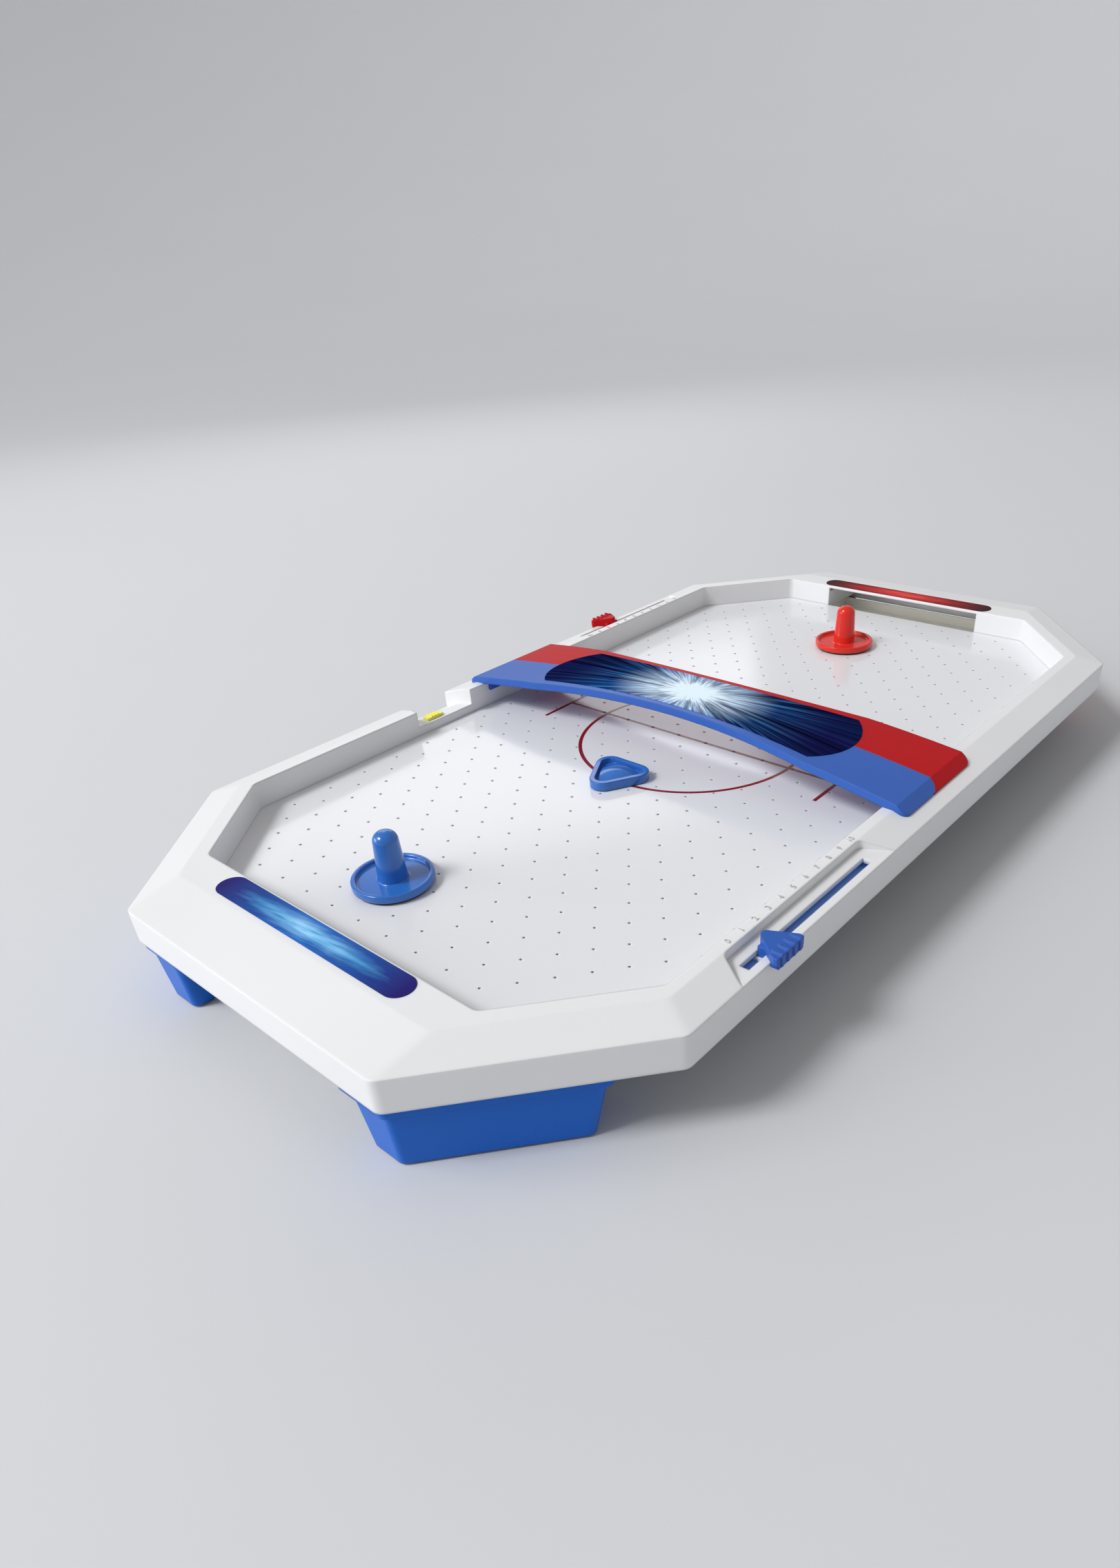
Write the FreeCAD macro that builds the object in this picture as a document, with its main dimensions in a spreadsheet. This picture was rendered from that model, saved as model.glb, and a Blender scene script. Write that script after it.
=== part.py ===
"""Tabletop air hockey game: an octagonal casing on four legs, with a fan-fed playing surface."""
import FreeCAD, Part
import Sketcher
import math
import os

V = FreeCAD.Vector
os.makedirs("parts", exist_ok=True)
doc = FreeCAD.newDocument("TabletopAirHockey")

# Driving dimensions in millimetres: name, value, meaning.
SIZES = [
    ("table_length", 600.0, "outside length of the casing"),
    ("table_width", 320.0, "outside width of the casing"),
    ("end_width", 173.2, "width of the casing's straight end face"),
    ("corner_slope", 0.8635, "rise over run of the four cut corners, in plan"),
    ("outer_round", 6.0, "rounding of the casing's upright outer edges"),
    ("inner_round", 5.0, "rounding of the playing area's upright edges"),
    ("casing_bottom", 34.4, "height of the casing's lower edge above the table"),
    ("side_height", 16.0, "height of the casing's upright outer side"),
    ("bevel_drop", 4.6, "fall of the rim from its flat top to the outer side"),
    ("wall", 2.2, "wall of the casing moulding"),
    ("end_margin", 45.0, "casing end to the playing area"),
    ("side_margin", 20.5, "casing side to the playing area"),
    ("end_splay", 6.4, "playing area's end wall past the casing's end face, on each side"),
    ("field_depth", 15.0, "depth of the playing area below the rim top"),
    ("end_band", 18.0, "flat top of the rim at the ends"),
    ("side_band", 5.5, "flat top of the rim along the sides"),
    ("corner_band", 7.8, "flat top of the rim at the cut corners"),
    ("surface_thick", 2.0, "playing surface"),
    ("surface_margin", 11.0, "surface reaching under the side walls"),
    ("corner_margin", 7.0, "surface reaching under the corner walls"),
    ("hole_radius", 0.6, "air hole"),
    ("hole_rows", 11.7, "spacing of the air hole rows along the table"),
    ("hole_pitch", 19.75, "spacing of the air holes within a row"),
    ("hole_border", 7.0, "clear border between air holes and walls"),
    ("boss_radius", 3.4, "screw boss in the casing"),
    ("boss_reach", 7.0, "boss centre behind the playing area's wall"),
    ("screw_radius", 1.3, "shank of the case screws"),
    ("screw_head", 2.7, "head radius of the case screws"),
    ("head_height", 1.6, "head height of the case screws"),
    ("bore_gap", 0.02, "radial gap round screws, shafts and pins"),
    ("part_gap", 0.3, "clearance between pieces that move past each other"),
    ("seat_gap", 0.1, "clearance round pieces that are set into an opening"),
    ("tray_inset", 9.0, "air tray wall inside the playing area's wall"),
    ("tray_depth", 13.0, "air tray, from the surface down to its outside bottom"),
    ("tray_wall", 2.0, "air tray moulding"),
    ("goal_width", 118.0, "goal slot"),
    ("goal_height", 13.2, "goal slot above the playing surface"),
    ("goal_tray_depth", 7.6, "goal catch tray below the surface sheet"),
    ("goal_tray_reach", 31.0, "goal catch tray behind the end wall"),
    ("recess_start", 58.5, "score recess, near end from the middle of the table"),
    ("recess_end", 182.6, "score recess, far end from the middle of the table"),
    ("recess_depth", 14.7, "score recess, from the casing's side to its back wall"),
    ("recess_taper", 9.2, "slant of the recess end walls in plan"),
    ("recess_round", 4.0, "rounding of the recess's back corners"),
    ("slot_start", 74.2, "score slot, near end"),
    ("slot_end", 171.0, "score slot, far end"),
    ("slot_inset", 6.45, "score slot centre line behind the casing's side"),
    ("slot_width", 4.5, "score slot"),
    ("slider_place", 154.0, "blue score slider from the middle of the table, at rest"),
    ("red_slider_place", 105.0, "red score slider from the middle of the table, at rest"),
    ("slider_round", 0.8, "rounding of the score slider's corners"),
    ("nose_round", 2.6, "rounding of the score slider's nose"),
    ("grip_pitch", 4.4, "grip ribs of the score slider, one to the next"),
    ("grip_width", 1.5, "one grip rib"),
    ("slider_width", 19.6, "score slider at its outer end"),
    ("slider_nose", 11.8, "score slider nose behind the casing's side"),
    ("slider_outer", 4.0, "score slider outer end past the casing's side"),
    ("slider_thick", 3.6, "score slider plate at its outer end"),
    ("slider_rise", 2.4, "rise of the score slider's top towards its nose"),
    ("slider_lip", 1.6, "score slider finger lip below the casing's side edge"),
    ("stem_length", 10.0, "score slider stem along the slot"),
    ("clip_thick", 1.6, "clip under the score slider"),
    ("clip_margin", 1.4, "clip reaching past the slot on each side"),
    ("track_thick", 1.4, "coloured strip below the score slot"),
    ("notch_start", 46.0, "switch notch, near end at the playing area"),
    ("notch_end", 90.0, "switch notch, far end at the playing area"),
    ("notch_taper", 5.0, "slant of the notch walls in plan"),
    ("notch_level", 45.3, "height of the notch ledge"),
    ("notch_ledge", 8.5, "flat part of the notch ledge"),
    ("notch_fall", 4.9, "fall of the ledge to the outer side"),
    ("switch_place", 72.0, "switch centre from the middle of the table"),
    ("switch_inset", 5.2, "switch centre behind the playing area's wall"),
    ("button_length", 12.0, "switch button"),
    ("button_width", 5.0, "switch button"),
    ("button_height", 1.5, "switch button cap"),
    ("button_travel", 4.0, "stroke of the switch"),
    ("switch_length", 17.0, "switch body"),
    ("switch_width", 5.8, "switch body"),
    ("switch_depth", 6.0, "switch body"),
    ("leg_inset", 3.5, "leg face behind the casing's outer side"),
    ("flange_inset", 1.6, "leg flange behind the casing's outer side"),
    ("leg_inner", 62.5, "leg end nearest the table's centre line"),
    ("flange_inner", 57.0, "leg flange end nearest the table's centre line"),
    ("leg_reach", 65.4, "run of the leg from the end face along the corner, lengthwise"),
    ("flange_reach", 65.8, "run of the leg flange, lengthwise"),
    ("leg_depth", 26.0, "leg from outer to inner face"),
    ("flange_height", 4.4, "leg flange"),
    ("leg_taper", 2.6, "leg narrowing on each side towards the foot"),
    ("leg_wall", 2.0, "leg moulding"),
    ("leg_round", 4.0, "rounding of the leg's upright edges"),
    ("pad_radius", 7.0, "rubber foot"),
    ("pad_height", 1.2, "rubber foot below the leg"),
    ("post_radius", 3.9, "screw post in the leg"),
    ("post_near", 20.0, "first leg screw from the end face, lengthwise"),
    ("post_far", 50.0, "second leg screw from the end face, lengthwise"),
    ("post_inset", 11.0, "leg screws behind the casing's outer side"),
    ("post_ledge", 6.0, "material between leg screw head and casing"),
    ("bridge_half", 35.5, "half the bridge's width at its ends"),
    ("bridge_flank", 27.5, "half the width that the bridge's straight flanks would reach at its middle"),
    ("bridge_waist", 24.5, "half the bridge's width at its waist"),
    ("waist_radius", 568.0, "radius of the bridge's hollowed long edges"),
    ("bridge_inset", 7.5, "end of the bridge behind the casing's side"),
    ("bridge_rise", 10.0, "rise of the bridge underside above the rim"),
    ("bridge_lip", 4.4, "bridge edge height"),
    ("bridge_skin", 2.0, "bridge moulding"),
    ("bridge_lip_width", 2.4, "downturned edge of the bridge"),
    ("bridge_round", 4.0, "rounding of the bridge's corners"),
    ("bridge_bevel", 5.5, "bevel at each end of the bridge, across the table"),
    ("bridge_foot", 1.2, "upright face below the end bevel"),
    ("seam_round", 7.0, "rounding of the blue half's corners at the seam"),
    ("bridge_seat", 20.0, "solid seat at each end of the bridge"),
    ("tab_height", 5.0, "bridge tab below the rim top"),
    ("tab_thick", 1.8, "bridge tab"),
    ("bridge_screw_place", 19.0, "bridge screws from the middle, along the table"),
    ("bridge_screw_inset", 15.4, "bridge screws behind the casing's side"),
    ("label_half_width", 26.3, "bridge label, half its width at its corners"),
    ("label_reach", 92.0, "bridge label, middle to its corner"),
    ("label_waist", 20.5, "bridge label, half its width at its waist"),
    ("label_bulge", 12.0, "bridge label end arc"),
    ("label_thick", 0.3, "printed labels"),
    ("goal_label_length", 131.0, "goal label"),
    ("goal_label_width", 14.2, "goal label"),
    ("goal_label_inset", 8.2, "goal label's centre line past the end wall"),
    ("mallet_radius", 19.6, "mallet disc"),
    ("mallet_rim", 3.9, "mallet rim height"),
    ("mallet_floor", 2.0, "mallet dish floor"),
    ("mallet_rim_width", 2.4, "mallet rim wall"),
    ("mallet_height", 27.1, "mallet without its felt"),
    ("knob_top_radius", 5.8, "mallet knob at its dome"),
    ("knob_dome", 5.0, "rounding of the mallet knob's top"),
    ("knob_edge", 0.8, "rounding of small moulded edges"),
    ("knob_base_radius", 7.2, "mallet knob at the dish"),
    ("felt_thick", 1.0, "mallet felt"),
    ("felt_inset", 1.2, "felt inside the mallet's edge"),
    ("mallet_place", 205.0, "blue mallet from the middle, along the table"),
    ("mallet_side", 20.8, "blue mallet off the table's centre line"),
    ("red_mallet_place", 182.0, "red mallet from the middle, along the table"),
    ("red_mallet_side", 4.0, "red mallet off the table's centre line"),
    ("puck_place", 63.5, "puck from the middle, along the table"),
    ("puck_side", 4.4, "puck off the table's centre line"),
    ("puck_reach", 10.3, "puck centre to the centre of each rounded corner"),
    ("puck_corner", 7.8, "puck corner radius"),
    ("puck_thick", 5.0, "puck edge"),
    ("puck_floor", 2.0, "puck between its edge bead and its dome"),
    ("puck_bead", 2.4, "puck edge bead width"),
    ("puck_valley", 2.0, "valley between the puck's bead and its dome"),
    ("puck_ball", 24.0, "radius of the puck's domed top"),
    ("puck_dome_height", 5.4, "puck centre dome top"),
    ("fan_radius", 29.0, "impeller"),
    ("blade_inner", 13.0, "impeller blades, inner radius"),
    ("blade_thick", 1.2, "impeller blades"),
    ("blade_count", 12, "impeller blades"),
    ("fan_plate", 1.0, "impeller plate"),
    ("fan_clear", 1.0, "impeller clear of the surface and the tray"),
    ("hub_radius", 4.0, "impeller hub"),
    ("shaft_radius", 1.0, "motor shaft"),
    ("motor_radius", 12.2, "motor can"),
    ("motor_length", 12.4, "motor can"),
    ("motor_boss", 3.0, "motor front bearing boss radius"),
    ("motor_seat", 14.0, "motor plate in the air tray"),
    ("inlet_radius", 25.0, "air inlet in the tray"),
    ("spoke_width", 5.0, "spokes of the air inlet"),
    ("duct_radius", 38.0, "fan duct, outside"),
    ("duct_flange", 46.0, "fan duct flange radius"),
    ("duct_wall", 2.0, "fan duct moulding"),
    ("duct_bottom", 4.0, "underside of the fan duct above the table"),
    ("flange_thick", 2.0, "flanges screwed under the tray"),
    ("grille_bar", 2.4, "bars of the intake grille"),
    ("grille_rings", 3, "rings of the intake grille"),
    ("cell_radius", 13.1, "battery cell, size C"),
    ("cell_length", 48.5, "battery cell without its cap"),
    ("cap_radius", 3.3, "battery cell cap"),
    ("cap_length", 1.5, "battery cell cap"),
    ("cell_gap", 0.5, "space round the battery cells"),
    ("spring_length", 4.0, "battery springs, compressed"),
    ("spring_radius", 4.5, "battery springs"),
    ("spring_wire", 0.4, "battery spring wire radius"),
    ("contact_thick", 0.4, "battery contact plates"),
    ("box_wall", 2.0, "battery box moulding"),
    ("box_place", 99.0, "battery box centre from the middle of the table"),
    ("box_flange", 7.0, "battery box flange"),
    ("door_bottom", 2.2, "battery door above the table"),
    ("door_thick", 2.0, "battery door"),
    ("hinge_radius", 1.2, "battery door hinge bead"),
    ("hinge_pin", 0.8, "battery door hinge pin"),
    ("door_screw", 1.2, "battery door screw shank"),
    ("wire_radius", 0.8, "hook-up wire"),
    ("wire_lead", 9.0, "wire's straight run beside the battery box"),
    ("wire_step", 16.0, "switch wires apart beside the battery box"),
    ("wire_pass", 6.0, "switch wire's run beside the duct screws, from the motor wire hole"),
]


class Size:
    """A length that keeps its number together with the sheet expression behind it."""

    def __init__(self, value, text):
        self.value = float(value)
        self.text = text

    def __add__(self, other):
        other = as_size(other)
        return Size(self.value + other.value, "(%s + %s)" % (self.text, other.text))

    def __sub__(self, other):
        other = as_size(other)
        return Size(self.value - other.value, "(%s - %s)" % (self.text, other.text))

    def __mul__(self, other):
        other = as_size(other)
        return Size(self.value * other.value, "(%s * %s)" % (self.text, other.text))

    def __truediv__(self, other):
        other = as_size(other)
        return Size(self.value / other.value, "(%s / %s)" % (self.text, other.text))

    def __radd__(self, other):
        return as_size(other) + self

    def __rsub__(self, other):
        return as_size(other) - self

    def __rmul__(self, other):
        return as_size(other) * self

    def __neg__(self):
        return as_size(0) - self

    def __float__(self):
        return self.value


def as_size(number):
    """Wrap a plain number, and pass a Size through."""
    if isinstance(number, Size):
        return number
    return Size(number, "%.6f" % float(number))


def root(size):
    """Square root of a Size."""
    return Size(math.sqrt(size.value), "sqrt(%s)" % size.text)


class Sheet:
    """The spreadsheet of driving dimensions; each alias reads as an attribute."""

    def __init__(self, rows):
        self.page = doc.addObject("Spreadsheet::Sheet", "Sizes")
        for row, (alias, value, meaning) in enumerate(rows, start=1):
            self.page.set("A%d" % row, meaning)
            self.page.set("B%d" % row, "%g" % value)
            self.page.setAlias("B%d" % row, alias)
            setattr(self, alias, Size(value, "Sizes." + alias))


S = Sheet(SIZES)
doc.recompute()

# Levels and outlines worked out from the driving dimensions.
ZERO = as_size(0)
SAME = 1e-4
RIM_EDGE = S.casing_bottom + S.side_height
RIM_TOP = RIM_EDGE + S.bevel_drop
FIELD = RIM_TOP - S.field_depth
SURFACE_LOW = FIELD - S.surface_thick
TRAY_LOW = SURFACE_LOW - S.tray_depth
TRAY_FLOOR = TRAY_LOW + S.tray_wall
SLANT = root(S.corner_slope * S.corner_slope + 1)
END_X = S.table_length / 2
SIDE_Y = S.table_width / 2
WALL_X = END_X - S.end_margin
WALL_Y = SIDE_Y - S.side_margin
SLOT_Y = SIDE_Y - S.slot_inset
UP = V(0, 0, 1)
nodes = []


def bind(thing, prop, size):
    """Drive a property from the sheet."""
    thing.setExpression(prop, as_size(size).text)


def place(thing, x, y, z):
    """Drive an object's position from the sheet."""
    bind(thing, "Placement.Base.x", x)
    bind(thing, "Placement.Base.y", y)
    bind(thing, "Placement.Base.z", z)


def node(thing, label):
    """Name a finished sub-part; the label is also its file name."""
    thing.Label = label
    nodes.append(thing)
    return thing


def low_high(first, second):
    """Two sizes in rising order."""
    first, second = as_size(first), as_size(second)
    return (first, second) if first.value <= second.value else (second, first)


def box(x_span, y_span, z_span):
    """A block between pairs of sizes."""
    thing = doc.addObject("Part::Box", "Block")
    spans = [low_high(*span) for span in (x_span, y_span, z_span)]
    for prop, (low, high) in zip(("Length", "Width", "Height"), spans):
        bind(thing, prop, high - low)
    place(thing, *[low for low, high in spans])
    return thing


def rod(x, y, z_span, radius):
    """An upright cylinder."""
    thing = doc.addObject("Part::Cylinder", "Rod")
    low, high = low_high(*z_span)
    bind(thing, "Radius", radius)
    bind(thing, "Height", high - low)
    place(thing, x, y, low)
    return thing


def lying_rod(x_span, y, z, radius):
    """A cylinder along the table's length."""
    thing = doc.addObject("Part::Cylinder", "LyingRod")
    low, high = low_high(*x_span)
    bind(thing, "Radius", radius)
    bind(thing, "Height", high - low)
    thing.Placement.Rotation = FreeCAD.Rotation(V(0, 1, 0), 90)
    place(thing, low, y, z)
    return thing


def cross_rod(x, y_span, z, radius):
    """A cylinder across the table."""
    thing = doc.addObject("Part::Cylinder", "CrossRod")
    low, high = low_high(*y_span)
    bind(thing, "Radius", radius)
    bind(thing, "Height", high - low)
    thing.Placement.Rotation = FreeCAD.Rotation(V(1, 0, 0), -90)
    place(thing, x, low, z)
    return thing


def fuse(*things):
    """One solid from several."""
    if len(things) == 1:
        return things[0]
    thing = doc.addObject("Part::MultiFuse", "Joined")
    thing.Shapes = list(things)
    return thing


def cut(base, *tools):
    """A base less its tools."""
    thing = doc.addObject("Part::Cut", "Trimmed")
    thing.Base = base
    thing.Tool = fuse(*tools)
    return thing


def common(first, second):
    """What two solids share."""
    thing = doc.addObject("Part::MultiCommon", "Shared")
    thing.Shapes = [first, second]
    return thing


def level_edges(shape, levels):
    """Numbers of a shape's level edges that lie at the given heights."""
    numbers = []
    for number, edge in enumerate(shape.Edges, start=1):
        span = edge.BoundBox
        if span.ZLength < SAME and any(abs(span.ZMin - float(level)) < SAME for level in levels):
            numbers.append(number)
    return numbers


def group(things):
    """Separate solids that share one node."""
    thing = doc.addObject("Part::Compound", "Group")
    thing.Links = list(things)
    return thing


PLANES = {
    "XY": FreeCAD.Rotation(0, 0, 0, 1),
    "YZ": FreeCAD.Rotation(0.5, 0.5, 0.5, 0.5),
    "XZ": FreeCAD.Rotation(math.sqrt(0.5), 0, 0, math.sqrt(0.5)),
}


def signed_area(corners):
    """Area of an outline, negative when it runs clockwise."""
    pairs = zip(corners, corners[1:] + corners[:1])
    return sum(float(a[0]) * float(b[1]) - float(b[0]) * float(a[1]) for a, b in pairs) / 2


def arc_ends(sketch, arc, start):
    """Which ends of a sketch arc, 1 or 2, meet the arriving and the leaving line."""
    begins = sketch.Geometry[arc].StartPoint
    return (1, 2) if begins.distanceToPoint(start) < 1e-6 else (2, 1)


def draw(sketch, corners):
    """Draw a closed outline; a corner is (u, v) or (u, v, rounding radius), each one driven."""
    count = len(corners)
    if signed_area(corners) < 0:
        corners = corners[::-1]
    points = [V(float(c[0]), float(c[1]), 0) for c in corners]
    ends = []
    for i, corner in enumerate(corners):
        before = (points[i - 1] - points[i]).normalize()
        after = (points[(i + 1) % count] - points[i]).normalize()
        reach = 0.0
        if len(corner) > 2:
            reach = float(corner[2]) / math.tan(before.getAngle(after) / 2)
        ends.append((points[i] + before * reach, points[i] + after * reach, before, after))
    lines = []
    for i in range(count):
        side = Part.LineSegment(ends[i][1], ends[(i + 1) % count][0])
        lines.append(sketch.addGeometry(side, False))
    for i, corner in enumerate(corners):
        arriving, leaving = lines[i - 1], lines[i]
        if len(corner) > 2:
            start, finish, before, after = ends[i]
            bisector = (before + after).normalize()
            radius = float(corner[2])
            half = before.getAngle(after) / 2
            middle = points[i] + bisector * (radius / math.sin(half) - radius)
            arc = sketch.addGeometry(Part.Arc(start, middle, finish), False)
            first, second = arc_ends(sketch, arc, start)
            sketch.addConstraint(Sketcher.Constraint("Tangent", arriving, 2, arc, first))
            sketch.addConstraint(Sketcher.Constraint("Tangent", leaving, 1, arc, second))
            number = sketch.addConstraint(Sketcher.Constraint("Radius", arc, radius))
            sketch.setExpression("Constraints[%d]" % number, corner[2].text)
            mark = sketch.addGeometry(Part.Point(points[i]), True)
            sketch.addConstraint(Sketcher.Constraint("PointOnObject", mark, 1, arriving))
            sketch.addConstraint(Sketcher.Constraint("PointOnObject", mark, 1, leaving))
        else:
            mark = leaving
            sketch.addConstraint(Sketcher.Constraint("Coincident", arriving, 2, leaving, 1))
        for kind, size in (("DistanceX", corner[0]), ("DistanceY", corner[1])):
            size = as_size(size)
            number = sketch.addConstraint(Sketcher.Constraint(kind, -1, 1, mark, 1, size.value))
            sketch.setExpression("Constraints[%d]" % number, size.text)


def outline(corners, plane="XY", level=ZERO):
    """A driven sketch on a plane parallel to a main plane."""
    sketch = doc.addObject("Sketcher::SketchObject", "Outline")
    sketch.Placement.Rotation = PLANES[plane]
    bind(sketch, "Placement.Base.%s" % {"XY": "z", "YZ": "x", "XZ": "y"}[plane], level)
    draw(sketch, corners)
    return sketch


def extrude(corners, span, plane="XY"):
    """A prism of a driven outline; XZ prisms grow towards the front, -Y."""
    low, high = low_high(*span)
    base = high if plane == "XZ" else low
    thing = doc.addObject("Part::Extrusion", "Prism")
    thing.Base = outline(corners, plane, base)
    thing.DirMode = "Custom"
    thing.Dir = {"XY": V(0, 0, 1), "YZ": V(1, 0, 0), "XZ": V(0, -1, 0)}[plane]
    thing.Solid = True
    bind(thing, "LengthFwd", high - low)
    return thing


def loft(low_corners, low, high_corners, high):
    """A ruled solid between two level outlines."""
    thing = doc.addObject("Part::Loft", "Bevel")
    thing.Sections = [outline(low_corners, "XY", low), outline(high_corners, "XY", high)]
    thing.Solid = True
    thing.Ruled = True
    return thing


class Octagon:
    """An oblong octagon with cut corners, centred on the table."""

    def __init__(self, reach_x, reach_y, end_half, rounding=None):
        self.reach_x = reach_x
        self.reach_y = reach_y
        self.end_half = end_half
        self.rounding = rounding

    def grown(self, end, side, corner, rounding=None):
        """The octagon moved out by its own margin at the ends, sides and corners."""
        end, side, corner = as_size(end), as_size(side), as_size(corner)
        end_half = self.end_half - S.corner_slope * end + SLANT * corner
        return Octagon(self.reach_x + end, self.reach_y + side, end_half, rounding)

    def side_half(self):
        """Half the length of the long sides."""
        return self.reach_x - (self.reach_y - self.end_half) / S.corner_slope

    def corners(self):
        """The eight corners, counter-clockwise."""
        side = self.side_half()
        quarter = [(self.reach_x, self.end_half), (side, self.reach_y)]
        turned = quarter + [(-x, y) for x, y in reversed(quarter)]
        points = turned + [(-x, -y) for x, y in turned]
        if self.rounding is None:
            return points
        return [(x, y, self.rounding) for x, y in points]


OUTER = Octagon(END_X, SIDE_Y, S.end_width / 2, S.outer_round)
PLAY = Octagon(WALL_X, WALL_Y, S.end_width / 2 + S.end_splay, S.inner_round)
RIDGE = PLAY.grown(S.end_band, S.side_band, S.corner_band, S.outer_round)
OUTER_INSIDE = OUTER.grown(-S.wall, -S.wall, -S.wall, S.outer_round)
WALL_BACK = PLAY.grown(S.wall, S.wall, S.wall, S.inner_round)
SHEET = PLAY.grown(S.wall, S.surface_margin, S.corner_margin, S.inner_round)
TRAY_IN = PLAY.grown(-S.tray_inset, -S.tray_inset, -S.tray_inset, S.inner_round)
TRAY_OUT = TRAY_IN.grown(S.tray_wall, S.tray_wall, S.tray_wall, S.inner_round)

BOSS_Y = WALL_Y + S.boss_reach
SURFACE_SCREWS = [(187, -1), (-187, -1), (52, -1), (-52, -1), (187, 1), (-187, 1), (52, 1), (-110, 1)]
QUARTERS = {"blue_left": (-1, 1), "blue_right": (-1, -1), "red_left": (1, 1), "red_right": (1, -1)}
TEAMS = {"blue": -1, "red": 1}
MALLETS = (("blue", -S.mallet_place, S.mallet_side), ("red", S.red_mallet_place, S.red_mallet_side))
SLIDERS = {"blue": S.slider_place, "red": S.red_slider_place}
GRIP_RIBS = 4
COIL_TURNS = 2
WIRE_SIDES = 8


def surface_screw_places():
    """Screws that clamp the air tray and the playing surface to the casing."""
    return [(as_size(x), BOSS_Y * side) for x, side in SURFACE_SCREWS]


def corner_point(along, inset):
    """A point by its run from the end face along a cut corner, and its inset from the outside."""
    line = OUTER.grown(-inset, -inset, -inset)
    x = END_X - along
    return x, line.end_half + S.corner_slope * (line.reach_x - x)


def leg_screw_places():
    """Two screws in each leg."""
    places = []
    for side_x, side_y in QUARTERS.values():
        for along in (S.post_near, S.post_far):
            x, y = corner_point(along, S.post_inset)
            places.append((x * side_x, y * side_y))
    return places


def bridge_screw_places():
    """One screw at each end of each bridge half."""
    reach = SIDE_Y - S.bridge_screw_inset
    return [(S.bridge_screw_place * a, reach * b) for a in (-1, 1) for b in (-1, 1)]


def recess_outline(grow):
    """Plan of the score recess on the blue side; it opens through the outer side."""
    back = -SIDE_Y + S.recess_depth + grow
    front = -SIDE_Y - S.wall
    return [(-S.recess_end - grow, front), (-S.recess_end + S.recess_taper - grow, back, S.recess_round),
            (-S.recess_start - S.recess_taper + grow, back, S.recess_round), (-S.recess_start + grow, front)]


def turned(corners, team):
    """An outline of the blue side, turned half round the table for the red side."""
    if team == "blue":
        return corners
    return [(-c[0], -c[1]) + tuple(c[2:]) for c in corners]


def notch_outline(grow):
    """Plan of the switch notch, open on both faces of the rim."""
    inner = WALL_Y - S.wall
    outer = SIDE_Y + S.wall
    return [(-S.notch_start + grow, inner), (-S.notch_start - S.notch_taper + grow, outer),
            (-S.notch_end + S.notch_taper - grow, outer), (-S.notch_end - grow, inner)]


def ledge_outline(drop, reach):
    """Section of the space above the notch ledge."""
    inner = WALL_Y - reach
    outer = SIDE_Y + reach
    step = WALL_Y + S.notch_ledge
    slope = S.notch_fall / (SIDE_Y - step)
    level = S.notch_level - drop
    return [(inner, level), (step, level), (outer, level - slope * (outer - step)),
            (outer, RIM_TOP + S.wall), (inner, RIM_TOP + S.wall)]


def rim_shell():
    """The bevelled rim ring, hollow from below."""
    body = fuse(extrude(OUTER.corners(), (S.casing_bottom, RIM_EDGE)),
                loft(OUTER.corners(), RIM_EDGE, RIDGE.corners(), RIM_TOP))
    ridge_low = RIDGE.corners()
    hollow = fuse(extrude(OUTER_INSIDE.corners(), (S.casing_bottom - S.wall, RIM_EDGE - S.wall)),
                  loft(OUTER_INSIDE.corners(), RIM_EDGE - S.wall, ridge_low, RIM_TOP - S.wall))
    channel = cut(hollow, extrude(WALL_BACK.corners(), (S.casing_bottom - S.wall * 2, RIM_TOP)))
    opening = extrude(PLAY.corners(), (ZERO, RIM_TOP + S.wall))
    return cut(body, channel, opening, surface_room())


def surface_room():
    """Space that the playing surface and what is below it take up."""
    line = SHEET.grown(S.seat_gap, S.seat_gap, S.seat_gap, S.inner_round)
    return extrude(line.corners(), (ZERO, FIELD))


def goal_ribs():
    """Upright ribs behind each goal slot, down from the rim top."""
    half = S.goal_width / 2
    ribs = []
    for end in (-1, 1):
        for side in (-1, 1):
            ribs.append(box(((WALL_X + S.wall / 2) * end, (END_X - S.wall / 2) * end),
                            (half * side, (half + S.wall) * side), (SURFACE_LOW, RIM_EDGE)))
    return [cut(fuse(*ribs), surface_room())]


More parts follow.
